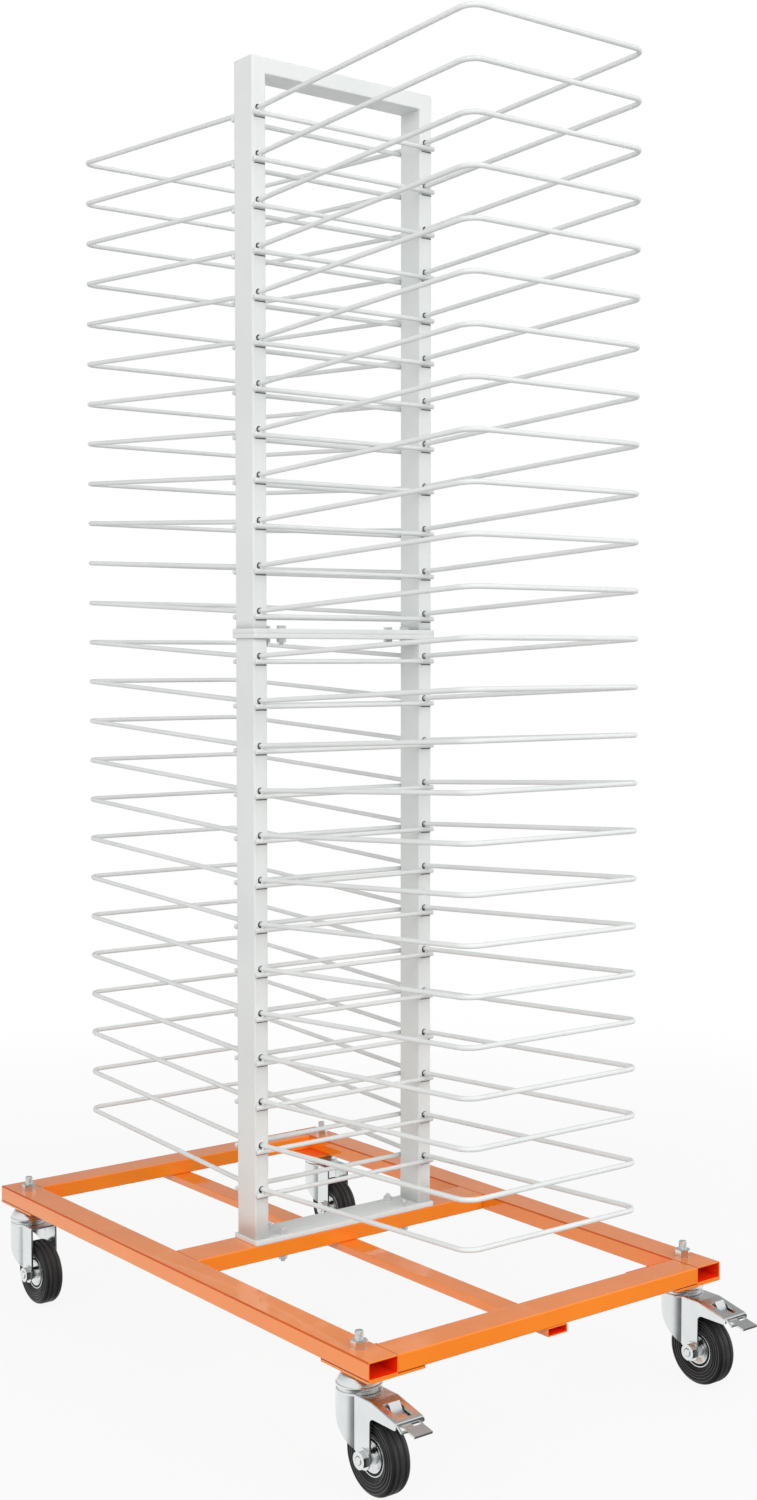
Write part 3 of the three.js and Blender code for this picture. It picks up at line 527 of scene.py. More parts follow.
# Studs: cut lengths of plated screw thread through the plates, each with a hexagon nut above and below.
# Four hold the foot plate on the middle rail, and four with low heads hold the joint plates together.
STUD_RADIUS = 3.0
STUD_PITCH = 1.0
STUD_NUT_FLATS = 10.0
STUD_NUT_HEIGHT = 5.0
STUD_TAIL = 3.5
STUD_HEAD_HEIGHT = 3.8
STUD_HEAD_DIP = 0.3
STUD_X = 97.0
STUD_Y = 17.0
NUT_FACE = 1.1
NUT_SLOPE = math.tan(math.radians(30))
NUT_LEAST_CUT = 0.05
NUT_BEVEL = 0.6
NUT_GRIP = 0.2
THREAD_ROOT = 1.0
THREAD_DEPTH = 0.31
THREAD_END = 0.6
THREAD_TAPER = 0.8
ROWS_IN_PITCH = 6
ZINC_COLOURS = ((0.74, 0.77, 0.77), (0.79, 0.81, 0.81))
ZINC_TEXTURE = (30.0, 90.0, 1600.0, 0.02)
zinc = new_finish("zinc", ZINC_COLOURS, (0.2, 0.28), ZINC_TEXTURE, Metallic=1.0)
dull_zinc = new_finish("zinc", ZINC_COLOURS, (0.4, 0.5), ZINC_TEXTURE, Metallic=0.5)


def turned(rows, turn):
    """Surface of revolution about Z from rows of a radius and a height, each one value or one per angle."""
    return np.stack([xyz(radius * np.cos(turn), radius * np.sin(turn), height) for radius, height in rows])


def whole_turn(count):
    return np.linspace(0, 2 * np.pi, count, endpoint=False)


def hex_nut(flats, height, bore):
    """Nut that stands on z = 0: its radius follows a hexagon round the axis, and a 30 degree cone cuts the
    corners back at both ends."""
    turn = whole_turn(48)
    hexagon = flats / 2 / np.cos((turn + np.pi / 6) % (np.pi / 3) - np.pi / 6)
    face = flats / 2 * NUT_FACE
    drop = np.clip(hexagon - face, NUT_LEAST_CUT, None) * NUT_SLOPE
    lower = ((bore, NUT_BEVEL), (bore + NUT_BEVEL, 0.0), (face, 0.0), (hexagon, drop))
    upper = [(radius, height - rise) for radius, rise in lower[::-1]]
    return turned([*lower, *upper], turn)


def screw_thread(radius, pitch, low, high, sides):
    """Threaded end: the radius dips in a rounded groove that climbs one pitch in each turn, and a chamfer
    draws the last turn in."""
    turn = whole_turn(sides)
    rise = np.linspace(low, high, max(int((high - low) / pitch * ROWS_IN_PITCH), 4))
    phase = 2 * np.pi * rise[:, None] / pitch - turn
    cut = radius - THREAD_DEPTH * pitch * (0.5 + 0.5 * np.cos(phase))
    cut = np.minimum(cut, radius - THREAD_END * pitch + (high - rise[:, None]) * THREAD_TAPER)
    return turned([(0.0, low), *zip(cut, rise), (0.0, high)], turn)


def stud_skins(x, y, low, high, top_height, top_tail):
    """Two nuts against the clamped faces at low and high, with the thread's ends in or out of them."""
    skins = []
    ends = ((high, 1, top_height, top_tail), (low, -1, STUD_NUT_HEIGHT, STUD_TAIL))
    for place, flip, height, tail in ends:
        nut = hex_nut(STUD_NUT_FLATS, height, STUD_RADIUS - NUT_GRIP)
        thread = screw_thread(STUD_RADIUS, STUD_PITCH, -THREAD_ROOT, height + tail, 16)
        skins.append(hoop(nut * [1, 1, flip] + [x, y, place]))
        skins.append(sleeve(thread * [1, 1, flip] + [x, y, place]))
    return skins


stud_rows = (
    ("foot_stud", RAIL_Z, FOOT_TOP, STUD_NUT_HEIGHT, STUD_TAIL),
    ("joint_stud", lower_top, upper_bottom, STUD_HEAD_HEIGHT, -STUD_HEAD_DIP),
)
for name, low, high, top_height, top_tail in stud_rows:
    places = [(side_x, side_y) for side_y in (-1, 1) for side_x in (-1, 1)]
    for number, (side_x, side_y) in enumerate(places, 1):
        skins = stud_skins(side_x * STUD_X, side_y * STUD_Y, low, high, top_height, top_tail)
        piece = lay_piece(f"{name}_{number}_screw", skins, dull_zinc, "rack", crease=28.0)
        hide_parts(f"{name}_{number}")

# Shelves: on each level a wire is bent into a U and pushed into the holes on the front of the posts, and
# another on the back. Both rise towards their tips. A straight rod lies across the posts below the legs and
# is welded to them. Below each rod a thin dark strip on the post is the rod's painted shadow.
WIRE_RADIUS = 3.0
WIRE_CHAMFER = 0.5
SHELF_REACH = 391.0
WIRE_BEND = 18.0
WIRE_SLOPE = math.tan(math.radians(2.86))
WIRE_INSIDE = 13.0
WIRE_ROOT = 4.0
WOBBLE = 0.0006
WOBBLE_LIMITS = (-0.0012, 0.0004)
ROD_GAP = 1.2
ROD_STANDOFF = 0.7
BEAD_SIZE = (2.7, 1.8)
SHADOW_DROP = 4.9
SHADOW_HEIGHT = 1.3
SHADOW_LEFT = -7.0
SHADOW_RIGHT = 8.8
SHADOW_PROUD = 0.08
SHADOW_ROOT = 0.4
SEED = 25


def round_wire(path):
    """Round wire along a path: a circle square to it at each point, and a small chamfer at both cut ends."""
    ahead = unit(np.gradient(path, axis=0))
    aside = unit(np.cross(ahead, [0.0, 0.0, 1.0]))
    above = np.cross(aside, ahead)
    turn = whole_turn(12)[None, :, None]
    ring = np.cos(turn) * aside[:, None] + np.sin(turn) * above[:, None]
    sizes = (0, WIRE_RADIUS - WIRE_CHAMFER, WIRE_RADIUS)
    axis, tip, skin = (path[:, None] + size * ring for size in sizes)
    step = WIRE_CHAMFER * ahead[:, None]
    first = [axis[:1], tip[:1], skin[:1] + step[:1]]
    last = [skin[-1:] - step[-1:], tip[-1:], axis[-1:]]
    return np.concatenate(first + [skin[1:-1]] + last)


def u_wire_path(level, side, lift):
    """Line of a shelf wire: out of one post, rising to two bends at the tip, and back into the other post."""
    bend = np.linspace(0, np.pi / 2, 9)
    tip_y = POST_FACE + SHELF_REACH
    near = [[-post_x, y] for y in (WIRE_INSIDE, POST_FACE + WIRE_ROOT, tip_y / 2)]
    bend_x = -post_x + WIRE_BEND - WIRE_BEND * np.cos(bend)
    bend_y = tip_y - WIRE_BEND + WIRE_BEND * np.sin(bend)
    flat = mirrored(np.concatenate([near, np.stack([bend_x, bend_y], axis=1)]), [-1, 1])
    height = level + (flat[:, 1] - POST_FACE) * (WIRE_SLOPE + lift)
    return xyz(flat[:, 0], side * flat[:, 1], height)


def weld_bead(place):
    """Small ellipsoid of weld metal, from pole to pole."""
    tilt = np.linspace(-np.pi / 2, np.pi / 2, 6)
    rows = zip(np.cos(tilt) * BEAD_SIZE[0], np.sin(tilt) * BEAD_SIZE[1])
    return turned(rows, whole_turn(8)) + place


def painted_shadow_strip(x, side, low, high):
    """Painted shadow of a rod: a thin dark strip on a post's face, a hair proud of it, shut on its middle
    line at both ends.
    """
    proud, root = side * (POST_FACE + SHADOW_PROUD), side * (POST_FACE - SHADOW_ROOT)
    ring = rectangle((x + SHADOW_LEFT, x + SHADOW_RIGHT), (proud, root))
    shut = rectangle((x + SHADOW_LEFT, x + SHADOW_RIGHT), [(proud + root) / 2] * 2)
    rows = ((shut, low), (ring, low), (ring, high), (shut, high))
    return np.stack([xyz(*line.T, height) for line, height in rows])


wobble = np.random.default_rng(SEED).normal(0.0, WOBBLE, (len(level_z), 2))
rod_x = np.linspace(-1, 1, 5) * FRAME_WIDTH / 2
rod_y = POST_FACE + WIRE_RADIUS + ROD_STANDOFF
seams = []
for number, level in enumerate(level_z, 1):
    skins = []
    for side, lift in zip((-1, 1), np.clip(wobble[number - 1], *WOBBLE_LIMITS)):
        wire = round_wire(u_wire_path(level, side, lift))
        rod_z = level + (rod_y - POST_FACE) * WIRE_SLOPE - 2 * WIRE_RADIUS - ROD_GAP
        rod = round_wire(xyz(rod_x, side * rod_y, rod_z))
        skins += [sleeve(wire), sleeve(rod)]
        for post in (-1, 1):
            place = [post * post_x, side * rod_y, rod_z + WIRE_RADIUS + ROD_GAP / 2]
            skins.append(sleeve(weld_bead(place)))
            low = rod_z - SHADOW_DROP
            seams.append(sleeve(painted_shadow_strip(post * post_x, side, low, low + SHADOW_HEIGHT)))
    piece = lay_piece(f"shelf_{number:02d}_wires", skins, white_coat, "rack", crease=50.0)
    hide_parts(f"shelf_{number:02d}")
# painted shadow strips under the rods
lay_piece("rod_painted_shadows", seams, bare_steel_and_shade, "rack")

# Caster stems: a threaded stem stands through the side rail with a hexagon nut on top of it. Below the rail
# sits a pressed dome of zinc plated steel, the fixed half of the swivel bearing.
STEM_X = 247.5
STEM_Y = 372.0
STEM_RADIUS = 5.0
STEM_PITCH = 1.5
STEM_NUT_FLATS = 16.0
STEM_NUT_HEIGHT = 8.5
STEM_NUT_GRIP = 0.3
STEM_TAIL = 10.0
CROWN_Z = 105.5
RACE_HEIGHT = 2.0
RACE_TOP = CROWN_Z + RACE_HEIGHT
HEAD_GAP = 0.4
HEAD_Z = RACE_TOP + HEAD_GAP
HEAD_RADIUS = 25.4
HEAD_BEND = 1.8
SEAT_Z = RAIL_Z - PLATE_DEPTH
BEND_SHARE = 0.45
casters = [
    (f"caster_{row}{side}", np.array([x, y, 0.0]), row == "f")
    for row, y in (("f", -STEM_Y), ("b", STEM_Y)) for side, x in (("l", -STEM_X), ("r", STEM_X))
]


def quadratic(t, start, bend, end):
    """Quadratic curve (1 - t)^2 start + 2 t (1 - t) bend + t^2 end."""
    return (1 - t) ** 2 * start + 2 * t * (1 - t) * bend + t ** 2 * end


def rounded(points, radius, steps=4):
    """Profile of (radius, height) points with each inner corner replaced by a short quadratic curve."""
    points = np.array(points, dtype=float)
    back, here, ahead = points[:-2], points[1:-1], points[2:]
    to_back, to_ahead = back - here, ahead - here
    room = np.linalg.norm([to_back, to_ahead], axis=-1).min(axis=0) * BEND_SHARE
    cut = np.minimum(room, radius)[:, None]
    start, end = here + unit(to_back) * cut, here + unit(to_ahead) * cut
    t = np.linspace(0, 1, steps + 1)[None, :, None]
    curve = quadratic(t, start[:, None], here[:, None], end[:, None])
    return np.concatenate([points[:1], curve.reshape(-1, 2), points[-1:]])


head_line = (
    (0.0, HEAD_Z + 0.8), (HEAD_RADIUS - 1.3, HEAD_Z + 0.8), (HEAD_RADIUS - 1.3, HEAD_Z),
    (HEAD_RADIUS, HEAD_Z), (HEAD_RADIUS, HEAD_Z + 2.6), (HEAD_RADIUS - 0.9, HEAD_Z + 3.4),
    (23.0, HEAD_Z + 6.8), (19.6, SEAT_Z - 3.0), (14.0, SEAT_Z), (0.0, SEAT_Z),
)
stem_top = RAIL_TOP + STEM_NUT_HEIGHT + STEM_TAIL
dome = turned(rounded(head_line, HEAD_BEND, 5), whole_turn(48))
nut = hex_nut(STEM_NUT_FLATS, STEM_NUT_HEIGHT, STEM_RADIUS - STEM_NUT_GRIP) + [0, 0, RAIL_TOP]
thread = screw_thread(STEM_RADIUS, STEM_PITCH, RAIL_TOP - THREAD_ROOT, stem_top, 24)
for name, place, braked in casters:
    skins = [sleeve(dome + place), hoop(nut + place), sleeve(thread + place)]
    piece = lay_piece(name + "_head_and_stem", skins, zinc, "rack", crease=28.0)
    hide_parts(name + "_stem")

# Forks: one pressing of zinc plated sheet. A flat crown turns below the dome, a round skirt stands behind it
# and two flat legs reach down to the axle. On the braked casters a nose with a window runs out over the tyre.
SHEET = 2.5
TRAIL = 33.0
AXLE_Z = 42.0
FORK_HALF = 19.0
RACE_RADIUS = 24.0
RACE_ROOT = 0.6
RACE_BEND = 0.6
SKIRT_RADIUS = 25.2
SKIRT_DROP = 9.5
SKIRT_BEND_REACH = 8.0
SKIRT_BEND_RISE = 8.0
SKIRT_OVERRUN = 5.0
LEG_END = 9.0
LEG_FRONT = -TRAIL - LEG_END
LEG_STEP = 0.02
LEG_TURN = 0.06
CROWN_BEND = 2.6
CROWN_ROWS = (0.76, 0.97)
SIDE_ROWS = (0.02, 0.2, 0.4, 0.6, 0.8, 1.0)
NOSE_REACH = 86.0
NOSE_BEND = 43.5
NOSE_DROP = 9.5
NOSE_TIP = 7.7
NOSE_CORNER = 3.0
NOSE_LIP = 1.8
NOSE_ROOT = (-53.0, -51.0)
ARCH = 7.0
ARCH_TURN = np.pi / 2 - 0.02
WINDOW_HALF = 9.0
WINDOW_NEAR = 56.0
WINDOW_FAR = 80.0
WINDOW_LOW = CROWN_Z - NOSE_DROP - SHEET - 1


def tip_bend(y, radius):
    """Distance by which a quarter circle of that radius turns the nose's tip off its line."""
    past = np.clip(radius - NOSE_REACH - y, 0, None)
    return radius - np.sqrt(np.clip(radius ** 2 - past ** 2, 0, None))


def crown_height(y):
    """Top of the fork along its length: level over the stem, then falling straight to the nose's tip, whose
    lip is turned down."""
    fall = NOSE_DROP * np.clip((-y - NOSE_BEND) / (NOSE_REACH - NOSE_BEND), 0, None)
    return CROWN_Z - fall - tip_bend(y, NOSE_LIP)


def fork_edge(y, braked):
    """Lower edge of the fork along its length: below the nose, round the arch, down the leg and its round
    end, and up the swept edge of the skirt."""
    arch_z = CROWN_Z - NOSE_DROP - NOSE_TIP
    arch = arch_z - ARCH + np.sqrt(np.clip(ARCH ** 2 - (y - LEG_FRONT + ARCH) ** 2, 0, None))
    nose = np.where(y < LEG_FRONT - ARCH, arch_z + tip_bend(y, NOSE_CORNER), arch)
    leg = AXLE_Z - np.sqrt(np.clip(LEG_END ** 2 - (y + TRAIL) ** 2, 0, None))
    t = np.linspace(0, 1, 60)
    sweep_y = quadratic(t, LEG_END - TRAIL, -SKIRT_BEND_REACH, SKIRT_RADIUS + SKIRT_OVERRUN)
    sweep_z = quadratic(t, AXLE_Z, AXLE_Z + SKIRT_BEND_RISE, CROWN_Z - SKIRT_DROP)
    below = np.where(y < LEG_FRONT - LEG_STEP / 2, nose if braked else leg, leg)
    return np.where(y > LEG_END - TRAIL, np.interp(y, sweep_y, sweep_z), below)


def fork_plan(braked, half, skirt):
    """Outline of the fork seen from above and its outward normals, from the front right, round the back of
    the skirt, to the front left."""
    kink = -math.sqrt(skirt ** 2 - half ** 2)
    leg_y = -TRAIL - LEG_END * np.cos(np.linspace(LEG_TURN, np.pi - LEG_TURN, 17))
    straight = np.concatenate([[LEG_FRONT], leg_y, np.linspace(LEG_END - TRAIL, kink, 5)])
    if braked:
        tip_y = NOSE_CORNER - NOSE_REACH - NOSE_CORNER * np.cos(np.linspace(0, np.pi / 2, 5))
        window_y = np.linspace(-WINDOW_FAR, -WINDOW_NEAR, 4)
        arch_y = LEG_FRONT - ARCH + ARCH * np.sin(np.linspace(0, ARCH_TURN, 7))
        straight = np.concatenate([tip_y, window_y, NOSE_ROOT, arch_y, [LEG_FRONT - LEG_STEP], straight])
    start = math.asin(kink / skirt)
    around = np.linspace(start, np.pi - start, 33)[1:-1]
    right = np.stack([np.full(len(straight), half), straight], axis=1)
    back = np.stack([np.cos(around), np.sin(around)], axis=1)
    plan = np.concatenate([right, back * skirt, right[::-1] * [-1, 1]])
    aside = np.tile([1.0, 0.0], (len(straight), 1))
    normal = np.concatenate([aside, back, -aside])
    for column in (len(straight) - 1, -len(straight)):
        normal[column] = unit(normal[column] + plan[column] / skirt)
    return plan, normal


def fork_skin(braked, inset):
    """Skin of the fork, drawn in by the inset. Columns follow its plan; rows run from the middle of the crown
    to its edge, round the bend and down the side. A nose has its window left out."""
    half = FORK_HALF - inset
    bend = max(CROWN_BEND - inset, LEAST_RADIUS)
    plan, normal = fork_plan(braked, half, SKIRT_RADIUS - inset)
    top = crown_height(plan[:, 1]) - inset
    edge = fork_edge(plan[:, 1], braked)
    spine = np.stack([np.zeros(len(plan)), np.minimum(plan[:, 1], 0.0)], axis=1)
    rim = plan - bend * normal
    window_rows = np.array([0.0, 0.5, 1.0]) * WINDOW_HALF / (half - bend)
    rows = [np.column_stack([spine + (rim - spine) * part, top]) for part in [*window_rows, *CROWN_ROWS]]
    for angle in np.linspace(0, np.pi / 2, 5):
        out = rim + bend * math.sin(angle) * normal
        rows.append(np.column_stack([out, top - bend + bend * math.cos(angle)]))
    for part in SIDE_ROWS:
        rows.append(np.column_stack([plan, (top - bend) * (1 - part) + edge * part]))
    skin, quads = grid(np.stack(rows))
    if braked:
        x, y, z = skin[quads].mean(axis=1).T
        window = (np.abs(x) < WINDOW_HALF) & (z > WINDOW_LOW) & (y > -WINDOW_FAR) & (y < -WINDOW_NEAR)
        quads = quads[~window]
    return skin, quads


def walled(outer, inner, quads, place):
    """Closed sheet from two skins with the same quads, moved to a place: both are kept, and each edge that
    only one quad of a skin has is bridged to the same edge of the other skin."""
    first, group = merge_points(outer)
    quads = group[quads]
    edges = np.stack([quads, np.roll(quads, -1, axis=1)], axis=-1).reshape(-1, 2)
    edges = edges[edges[:, 0] != edges[:, 1]]
    _, alike, count = np.unique(np.sort(edges, axis=1), axis=0, return_inverse=True, return_counts=True)
    rim = edges[count[alike.reshape(-1)] == 1]
    shift = len(first)
    bridge = np.stack([rim[:, 1], rim[:, 0], rim[:, 0] + shift, rim[:, 1] + shift], axis=1)
    points = np.concatenate([outer[first], inner[first]]) + place
    return points, np.concatenate([quads, quads[:, ::-1] + shift, bridge])


def disc_line(radius, low, high):
    """Profile of a plain round disc or pin between two heights."""
    return [(0.0, low), (radius, low), (radius, high), (0.0, high)]


race = turned(rounded(disc_line(RACE_RADIUS, CROWN_Z - RACE_ROOT, RACE_TOP), RACE_BEND), whole_turn(48))
for name, place, braked in casters:
    outer, quads = fork_skin(braked, 0.0)
    inner, _ = fork_skin(braked, SHEET)
    skins = [walled(outer, inner, quads, place), sleeve(race + place)]
    piece = lay_piece(name + "_fork_sheet", skins, zinc, name, crease=30.0)
    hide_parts(name + "_fork")

# Axle bolts: a hexagon bolt through both legs of the fork, with its head on the right, and a plain washer and
# its nut on the left.
AXLE_PLACE = np.array([0.0, -TRAIL, AXLE_Z])
AXLE_RADIUS = 5.0
AXLE_PITCH = 1.5
AXLE_ROOT = 4.0
AXLE_TAIL = 0.8
AXLE_NUT_FLATS = 17.0
AXLE_NUT_HEIGHT = 6.0
AXLE_HEAD_HEIGHT = 6.6
WASHER_RADIUS = 11.5
WASHER_DEPTH = 1.3
WASHER_BEND = 0.3


def along_x(skin):
    """A skin made about Z, laid over so that its Z axis points along +X."""
    return skin[..., [2, 0, 1]]


washer_line = rounded(disc_line(WASHER_RADIUS, 0.0, WASHER_DEPTH), WASHER_BEND)
seat = FORK_HALF + WASHER_DEPTH
axle_end = seat + AXLE_NUT_HEIGHT + AXLE_TAIL
washer = along_x(turned(washer_line, whole_turn(40))) + [FORK_HALF, 0, 0]
nut = along_x(hex_nut(AXLE_NUT_FLATS, AXLE_NUT_HEIGHT, AXLE_RADIUS - NUT_GRIP)) + [seat, 0, 0]
thread = along_x(screw_thread(AXLE_RADIUS, AXLE_PITCH, FORK_HALF - AXLE_ROOT, axle_end, 24))
head = along_x(hex_nut(AXLE_NUT_FLATS, AXLE_HEAD_HEIGHT, 0.0)) + [FORK_HALF, 0, 0]
shank = along_x(turned(disc_line(AXLE_RADIUS, -FORK_HALF, FORK_HALF), whole_turn(24)))
mirror = [-1, 1, 1]
for name, place, braked in casters:
    axle = place + AXLE_PLACE
    skins = [
        sleeve(washer * mirror + axle), hoop(nut * mirror + axle), sleeve(thread * mirror + axle),
        hoop(head + axle), sleeve(shank + axle),
    ]
    lay_piece(name + "_axle_bolt", skins, zinc, name, crease=28.0)

# Wheels: a pressed hub with a rolled rim, a conical dish and a long sleeve, and a solid rubber tyre moulded
# round it with two grooves in its tread and fine rings on its walls.
TYRE_RADIUS = 42.0
TYRE_HALF = 12.5
TYRE_BORE = 21.5
TYRE_BEND = 0.3
TREAD_GROOVE = 4.0
GROOVE_LINE = ((1.7, 0.0), (1.3, 0.5), (0.8, 1.9), (0.0, 2.1), (-0.8, 1.9), (-1.3, 0.5), (-1.7, 0.0))
TREAD_DEPTH = 2.6
TREAD_INSET = 3.6
RING_CRESTS = np.array([27.0, 30.3, 33.6, 37.2])
RING_LINE = ((-1.1, 0.8), (-0.4, 0.1), (0.4, 0.0), (1.0, 0.9))
CREST_REACH = 0.45
WALL_FROM = 9.0
HUB_RADIUS = 21.4
HUB_HALF = 9.7
HUB_BEND = 0.5
DISC_RADIUS = 17.2
DISH = 4.5
SLEEVE_HALF = 16.2
SLEEVE_PLAY = 0.3
BOSS_RADIUS = 7.8
RUBBER_TEXTURE = (40.0, 120.0, 1100.0, 0.1)
PALE_RUBBER_TEXTURE = (60.0, 120.0, 1100.0, 0.1)
rubber = new_finish(
    "rubber", ((0.009, 0.009, 0.010), (0.014, 0.014, 0.015)), (0.36, 0.5), RUBBER_TEXTURE, 0.26,
)
# painted highlight: paler rubber on the crests of the wall rings
crest_highlight = new_finish("rubber", ((0.05, 0.051, 0.052), (0.075, 0.076, 0.078)), (0.3, 0.45), PALE_RUBBER_TEXTURE)
paler_tread = new_finish("rubber", ((0.028, 0.028, 0.029), (0.04, 0.04, 0.041)), (0.36, 0.5), PALE_RUBBER_TEXTURE)


def mark_tyre_crests(piece, axle):
    """Paler rubber on the crests of a tyre's rings as painted highlights, and paler rubber on its tread."""
    off_axle = face_vectors(piece, "center") / MM - RACK_MIDDLE - axle
    off_middle = np.abs(off_axle[:, 0])
    distance = np.hypot(off_axle[:, 1], off_axle[:, 2])
    on_crest = np.min(np.abs(distance[:, None] - RING_CRESTS), axis=1) < CREST_REACH
    on_tread = (distance > TYRE_RADIUS - TREAD_DEPTH) & (off_middle < TYRE_HALF - TREAD_INSET)
    repaint(piece, on_crest & (off_middle > WALL_FROM), crest_highlight)
    repaint(piece, on_tread, paler_tread)


hub_line = (
    (AXLE_RADIUS + SLEEVE_PLAY, SLEEVE_HALF), (BOSS_RADIUS, SLEEVE_HALF),
    (BOSS_RADIUS, HUB_HALF - DISH + 1.4), (BOSS_RADIUS + 1.6, HUB_HALF - DISH + 0.5),
    (DISC_RADIUS - 1.6, HUB_HALF - 0.5), (DISC_RADIUS, HUB_HALF), (DISC_RADIUS, HUB_HALF - 3.6),
    (HUB_RADIUS - 1.5, HUB_HALF - 3.6), (HUB_RADIUS - 1.5, HUB_HALF), (HUB_RADIUS, HUB_HALF),
    (HUB_RADIUS, 0.0),
)
rings = [(crest + step, TYRE_HALF - depth) for crest in RING_CRESTS for step, depth in RING_LINE]
groove = [(TYRE_RADIUS - depth, TREAD_GROOVE + step) for step, depth in GROOVE_LINE]
tyre_line = (
    (TYRE_BORE, 0.0), (TYRE_BORE, HUB_HALF), (TYRE_BORE + 0.6, HUB_HALF + 0.4), (25.6, TYRE_HALF - 0.8),
    *rings, (39.2, TYRE_HALF - 1.1), (40.6, TYRE_HALF - 2.2), (41.6, TYRE_HALF - 3.8),
    (TYRE_RADIUS, TYRE_HALF - 5.6), *groove, (TYRE_RADIUS, 0.0),
)
hub = along_x(turned(mirrored(rounded(hub_line, HUB_BEND, 3), [1, -1]), whole_turn(96)))
tyre = along_x(turned(mirrored(rounded(tyre_line, TYRE_BEND, 2), [1, -1]), whole_turn(96)))
for name, place, braked in casters:
    axle = place + AXLE_PLACE
    piece = lay_piece(name + "_hub_disc", [hoop(hub + axle)], zinc, name + "_wheel", crease=40.0)
    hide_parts(name + "_hub")
    piece = lay_piece(name + "_tyre_rubber", [hoop(tyre + axle)], rubber, name + "_wheel", crease=40.0)
    mark_tyre_crests(piece, axle)
    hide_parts(name + "_tyre")

# Hub seals: a narrow rubber ring lies between the hub's rolled rim and its disc, on both sides of a wheel. It
# stands a little lower than both of them.
SEAL_INNER = DISC_RADIUS + 0.1
SEAL_OUTER = HUB_RADIUS - 1.6
SEAL_BEND = 0.5
seal_line = (
    (SEAL_INNER, HUB_HALF - 3.5), (SEAL_INNER, HUB_HALF - 0.6), (SEAL_OUTER - 1.2, HUB_HALF - 0.2),
    (SEAL_OUTER, HUB_HALF - 0.6), (SEAL_OUTER, HUB_HALF - 3.5), (SEAL_INNER, HUB_HALF - 3.5),
)
seal = along_x(turned(rounded(seal_line, SEAL_BEND, 3)[:-1], whole_turn(96)))
for name, place, braked in casters:
    skins = [hoop(seal * [side, 1, 1] + (place + AXLE_PLACE)) for side in (-1, 1)]
    # the dark rubber ring is a seal, and also painted shade deep in the groove between rim and disc
    lay_piece(name + "_hub_seals", skins, rubber, name + "_wheel")

# Brake pedals, on the two front casters: a pressed lever on a pin across the nose, with a tab for the foot in
# front of the nose, a pad that is pressed on the tyre and an upright tongue that stands out of the window.
PEDAL_SHEET = 2.4
PIN_Y = -48.0
PIN_Z = CROWN_Z - 7.5
PIN_RADIUS = 2.5
PIN_HALF = FORK_HALF - 0.2
LEVER_FALL = 6.5 / 38.0
LEVER_ROWS = (-60.0, -72.0, -84.0)
LEVER_ACROSS = (-12.0, -6.0, 0.0, 5.0, 10.0, 12.0)
SLOT_NEAR = -86.6
SLOT_FAR = -92.0
SLOT_ACROSS = (0.0, 10.0)
TAB_LINE = ((-94.0, 0.6), (-97.0, 1.3), (-107.6, 3.5))
PAD_SHEET = 2.8
PAD_RADIUS = 45.2
PAD_ANGLE = math.radians(118.0)
PAD_ACROSS = (-8.8, 0.0, 8.8)
THIN_SHEET = 1.8
TONGUE_FOOT_Y = -64.0
TONGUE_TOP = (-58.0, CROWN_Z + 0.2)
TONGUE_CURVE = 1.2
TONGUE_ACROSS = np.linspace(-7.0, 7.6, 3)
ARM_LINE = np.array([(-86.8, 94.6), (-89.0, 93.2), (-91.6, 91.4), (-93.8, 89.8), (-95.2, 88.8)])
ARM_ACROSS = (-19.0, -17.0)
ARM_FOOT_LINE = np.array([(-92.4, 89.4), (-93.8, 89.1), (-95.2, 88.8)])
ARM_FOOT_ACROSS = (-17.4, -11.6)
RIVET_LINE = ((0.0, 0.0), (2.3, 0.0), (2.2, 0.7), (1.5, 1.3), (0.7, 1.6), (0.0, 1.7))
RIVET_X = -7.0
RIVET_Y = -53.2
RIVET_ROOT = 0.2


def lever_z(y):
    """Height of the lever's line, which falls straight from the pin to the tab."""
    return PIN_Z + (y - PIN_Y) * LEVER_FALL


def thick_strip(line, across, thickness):
    """Two faces of a strip of sheet and the quads that both have: the (y, z) points of a line, moved half the
    thickness to either side along its normals and drawn out over the x places in across."""
    ahead = unit(np.gradient(line, axis=0))
    normal = np.stack([-ahead[:, 1], ahead[:, 0]], axis=1)
    faces = [line + normal * half for half in (thickness / 2, -thickness / 2)]
    (outer, quads), (inner, _) = (grid(xyz(across, face[:, :1], face[:, 1:])) for face in faces)
    return outer, inner, quads


lever_y = np.array([PIN_Y, *LEVER_ROWS, SLOT_NEAR, SLOT_FAR])
lever_line = np.column_stack([lever_y, lever_z(lever_y)])
tab_line = [(y, lever_z(SLOT_FAR) - drop) for y, drop in TAB_LINE]
outer, inner, quads = thick_strip(np.concatenate([lever_line, tab_line]), LEVER_ACROSS, PEDAL_SHEET)
x, y, _ = outer[quads].mean(axis=1).T
slot = (y < SLOT_NEAR) & (y > SLOT_FAR) & (x > SLOT_ACROSS[0]) & (x < SLOT_ACROSS[1])
lever = (outer, inner, quads[~slot])
rise = np.linspace(0, 1, 7)[:, None] ** [TONGUE_CURVE, 1.0]
foot = np.array([TONGUE_FOOT_Y, lever_z(TONGUE_FOOT_Y)])
tongue = thick_strip(foot + (TONGUE_TOP - foot) * rise, TONGUE_ACROSS, THIN_SHEET)
pad_tip = [PAD_RADIUS * math.cos(PAD_ANGLE) - TRAIL, PAD_RADIUS * math.sin(PAD_ANGLE) + AXLE_Z]
pad = thick_strip(np.linspace([PIN_Y, PIN_Z], pad_tip, 4), PAD_ACROSS, PAD_SHEET)
arm = thick_strip(ARM_LINE, ARM_ACROSS, THIN_SHEET)
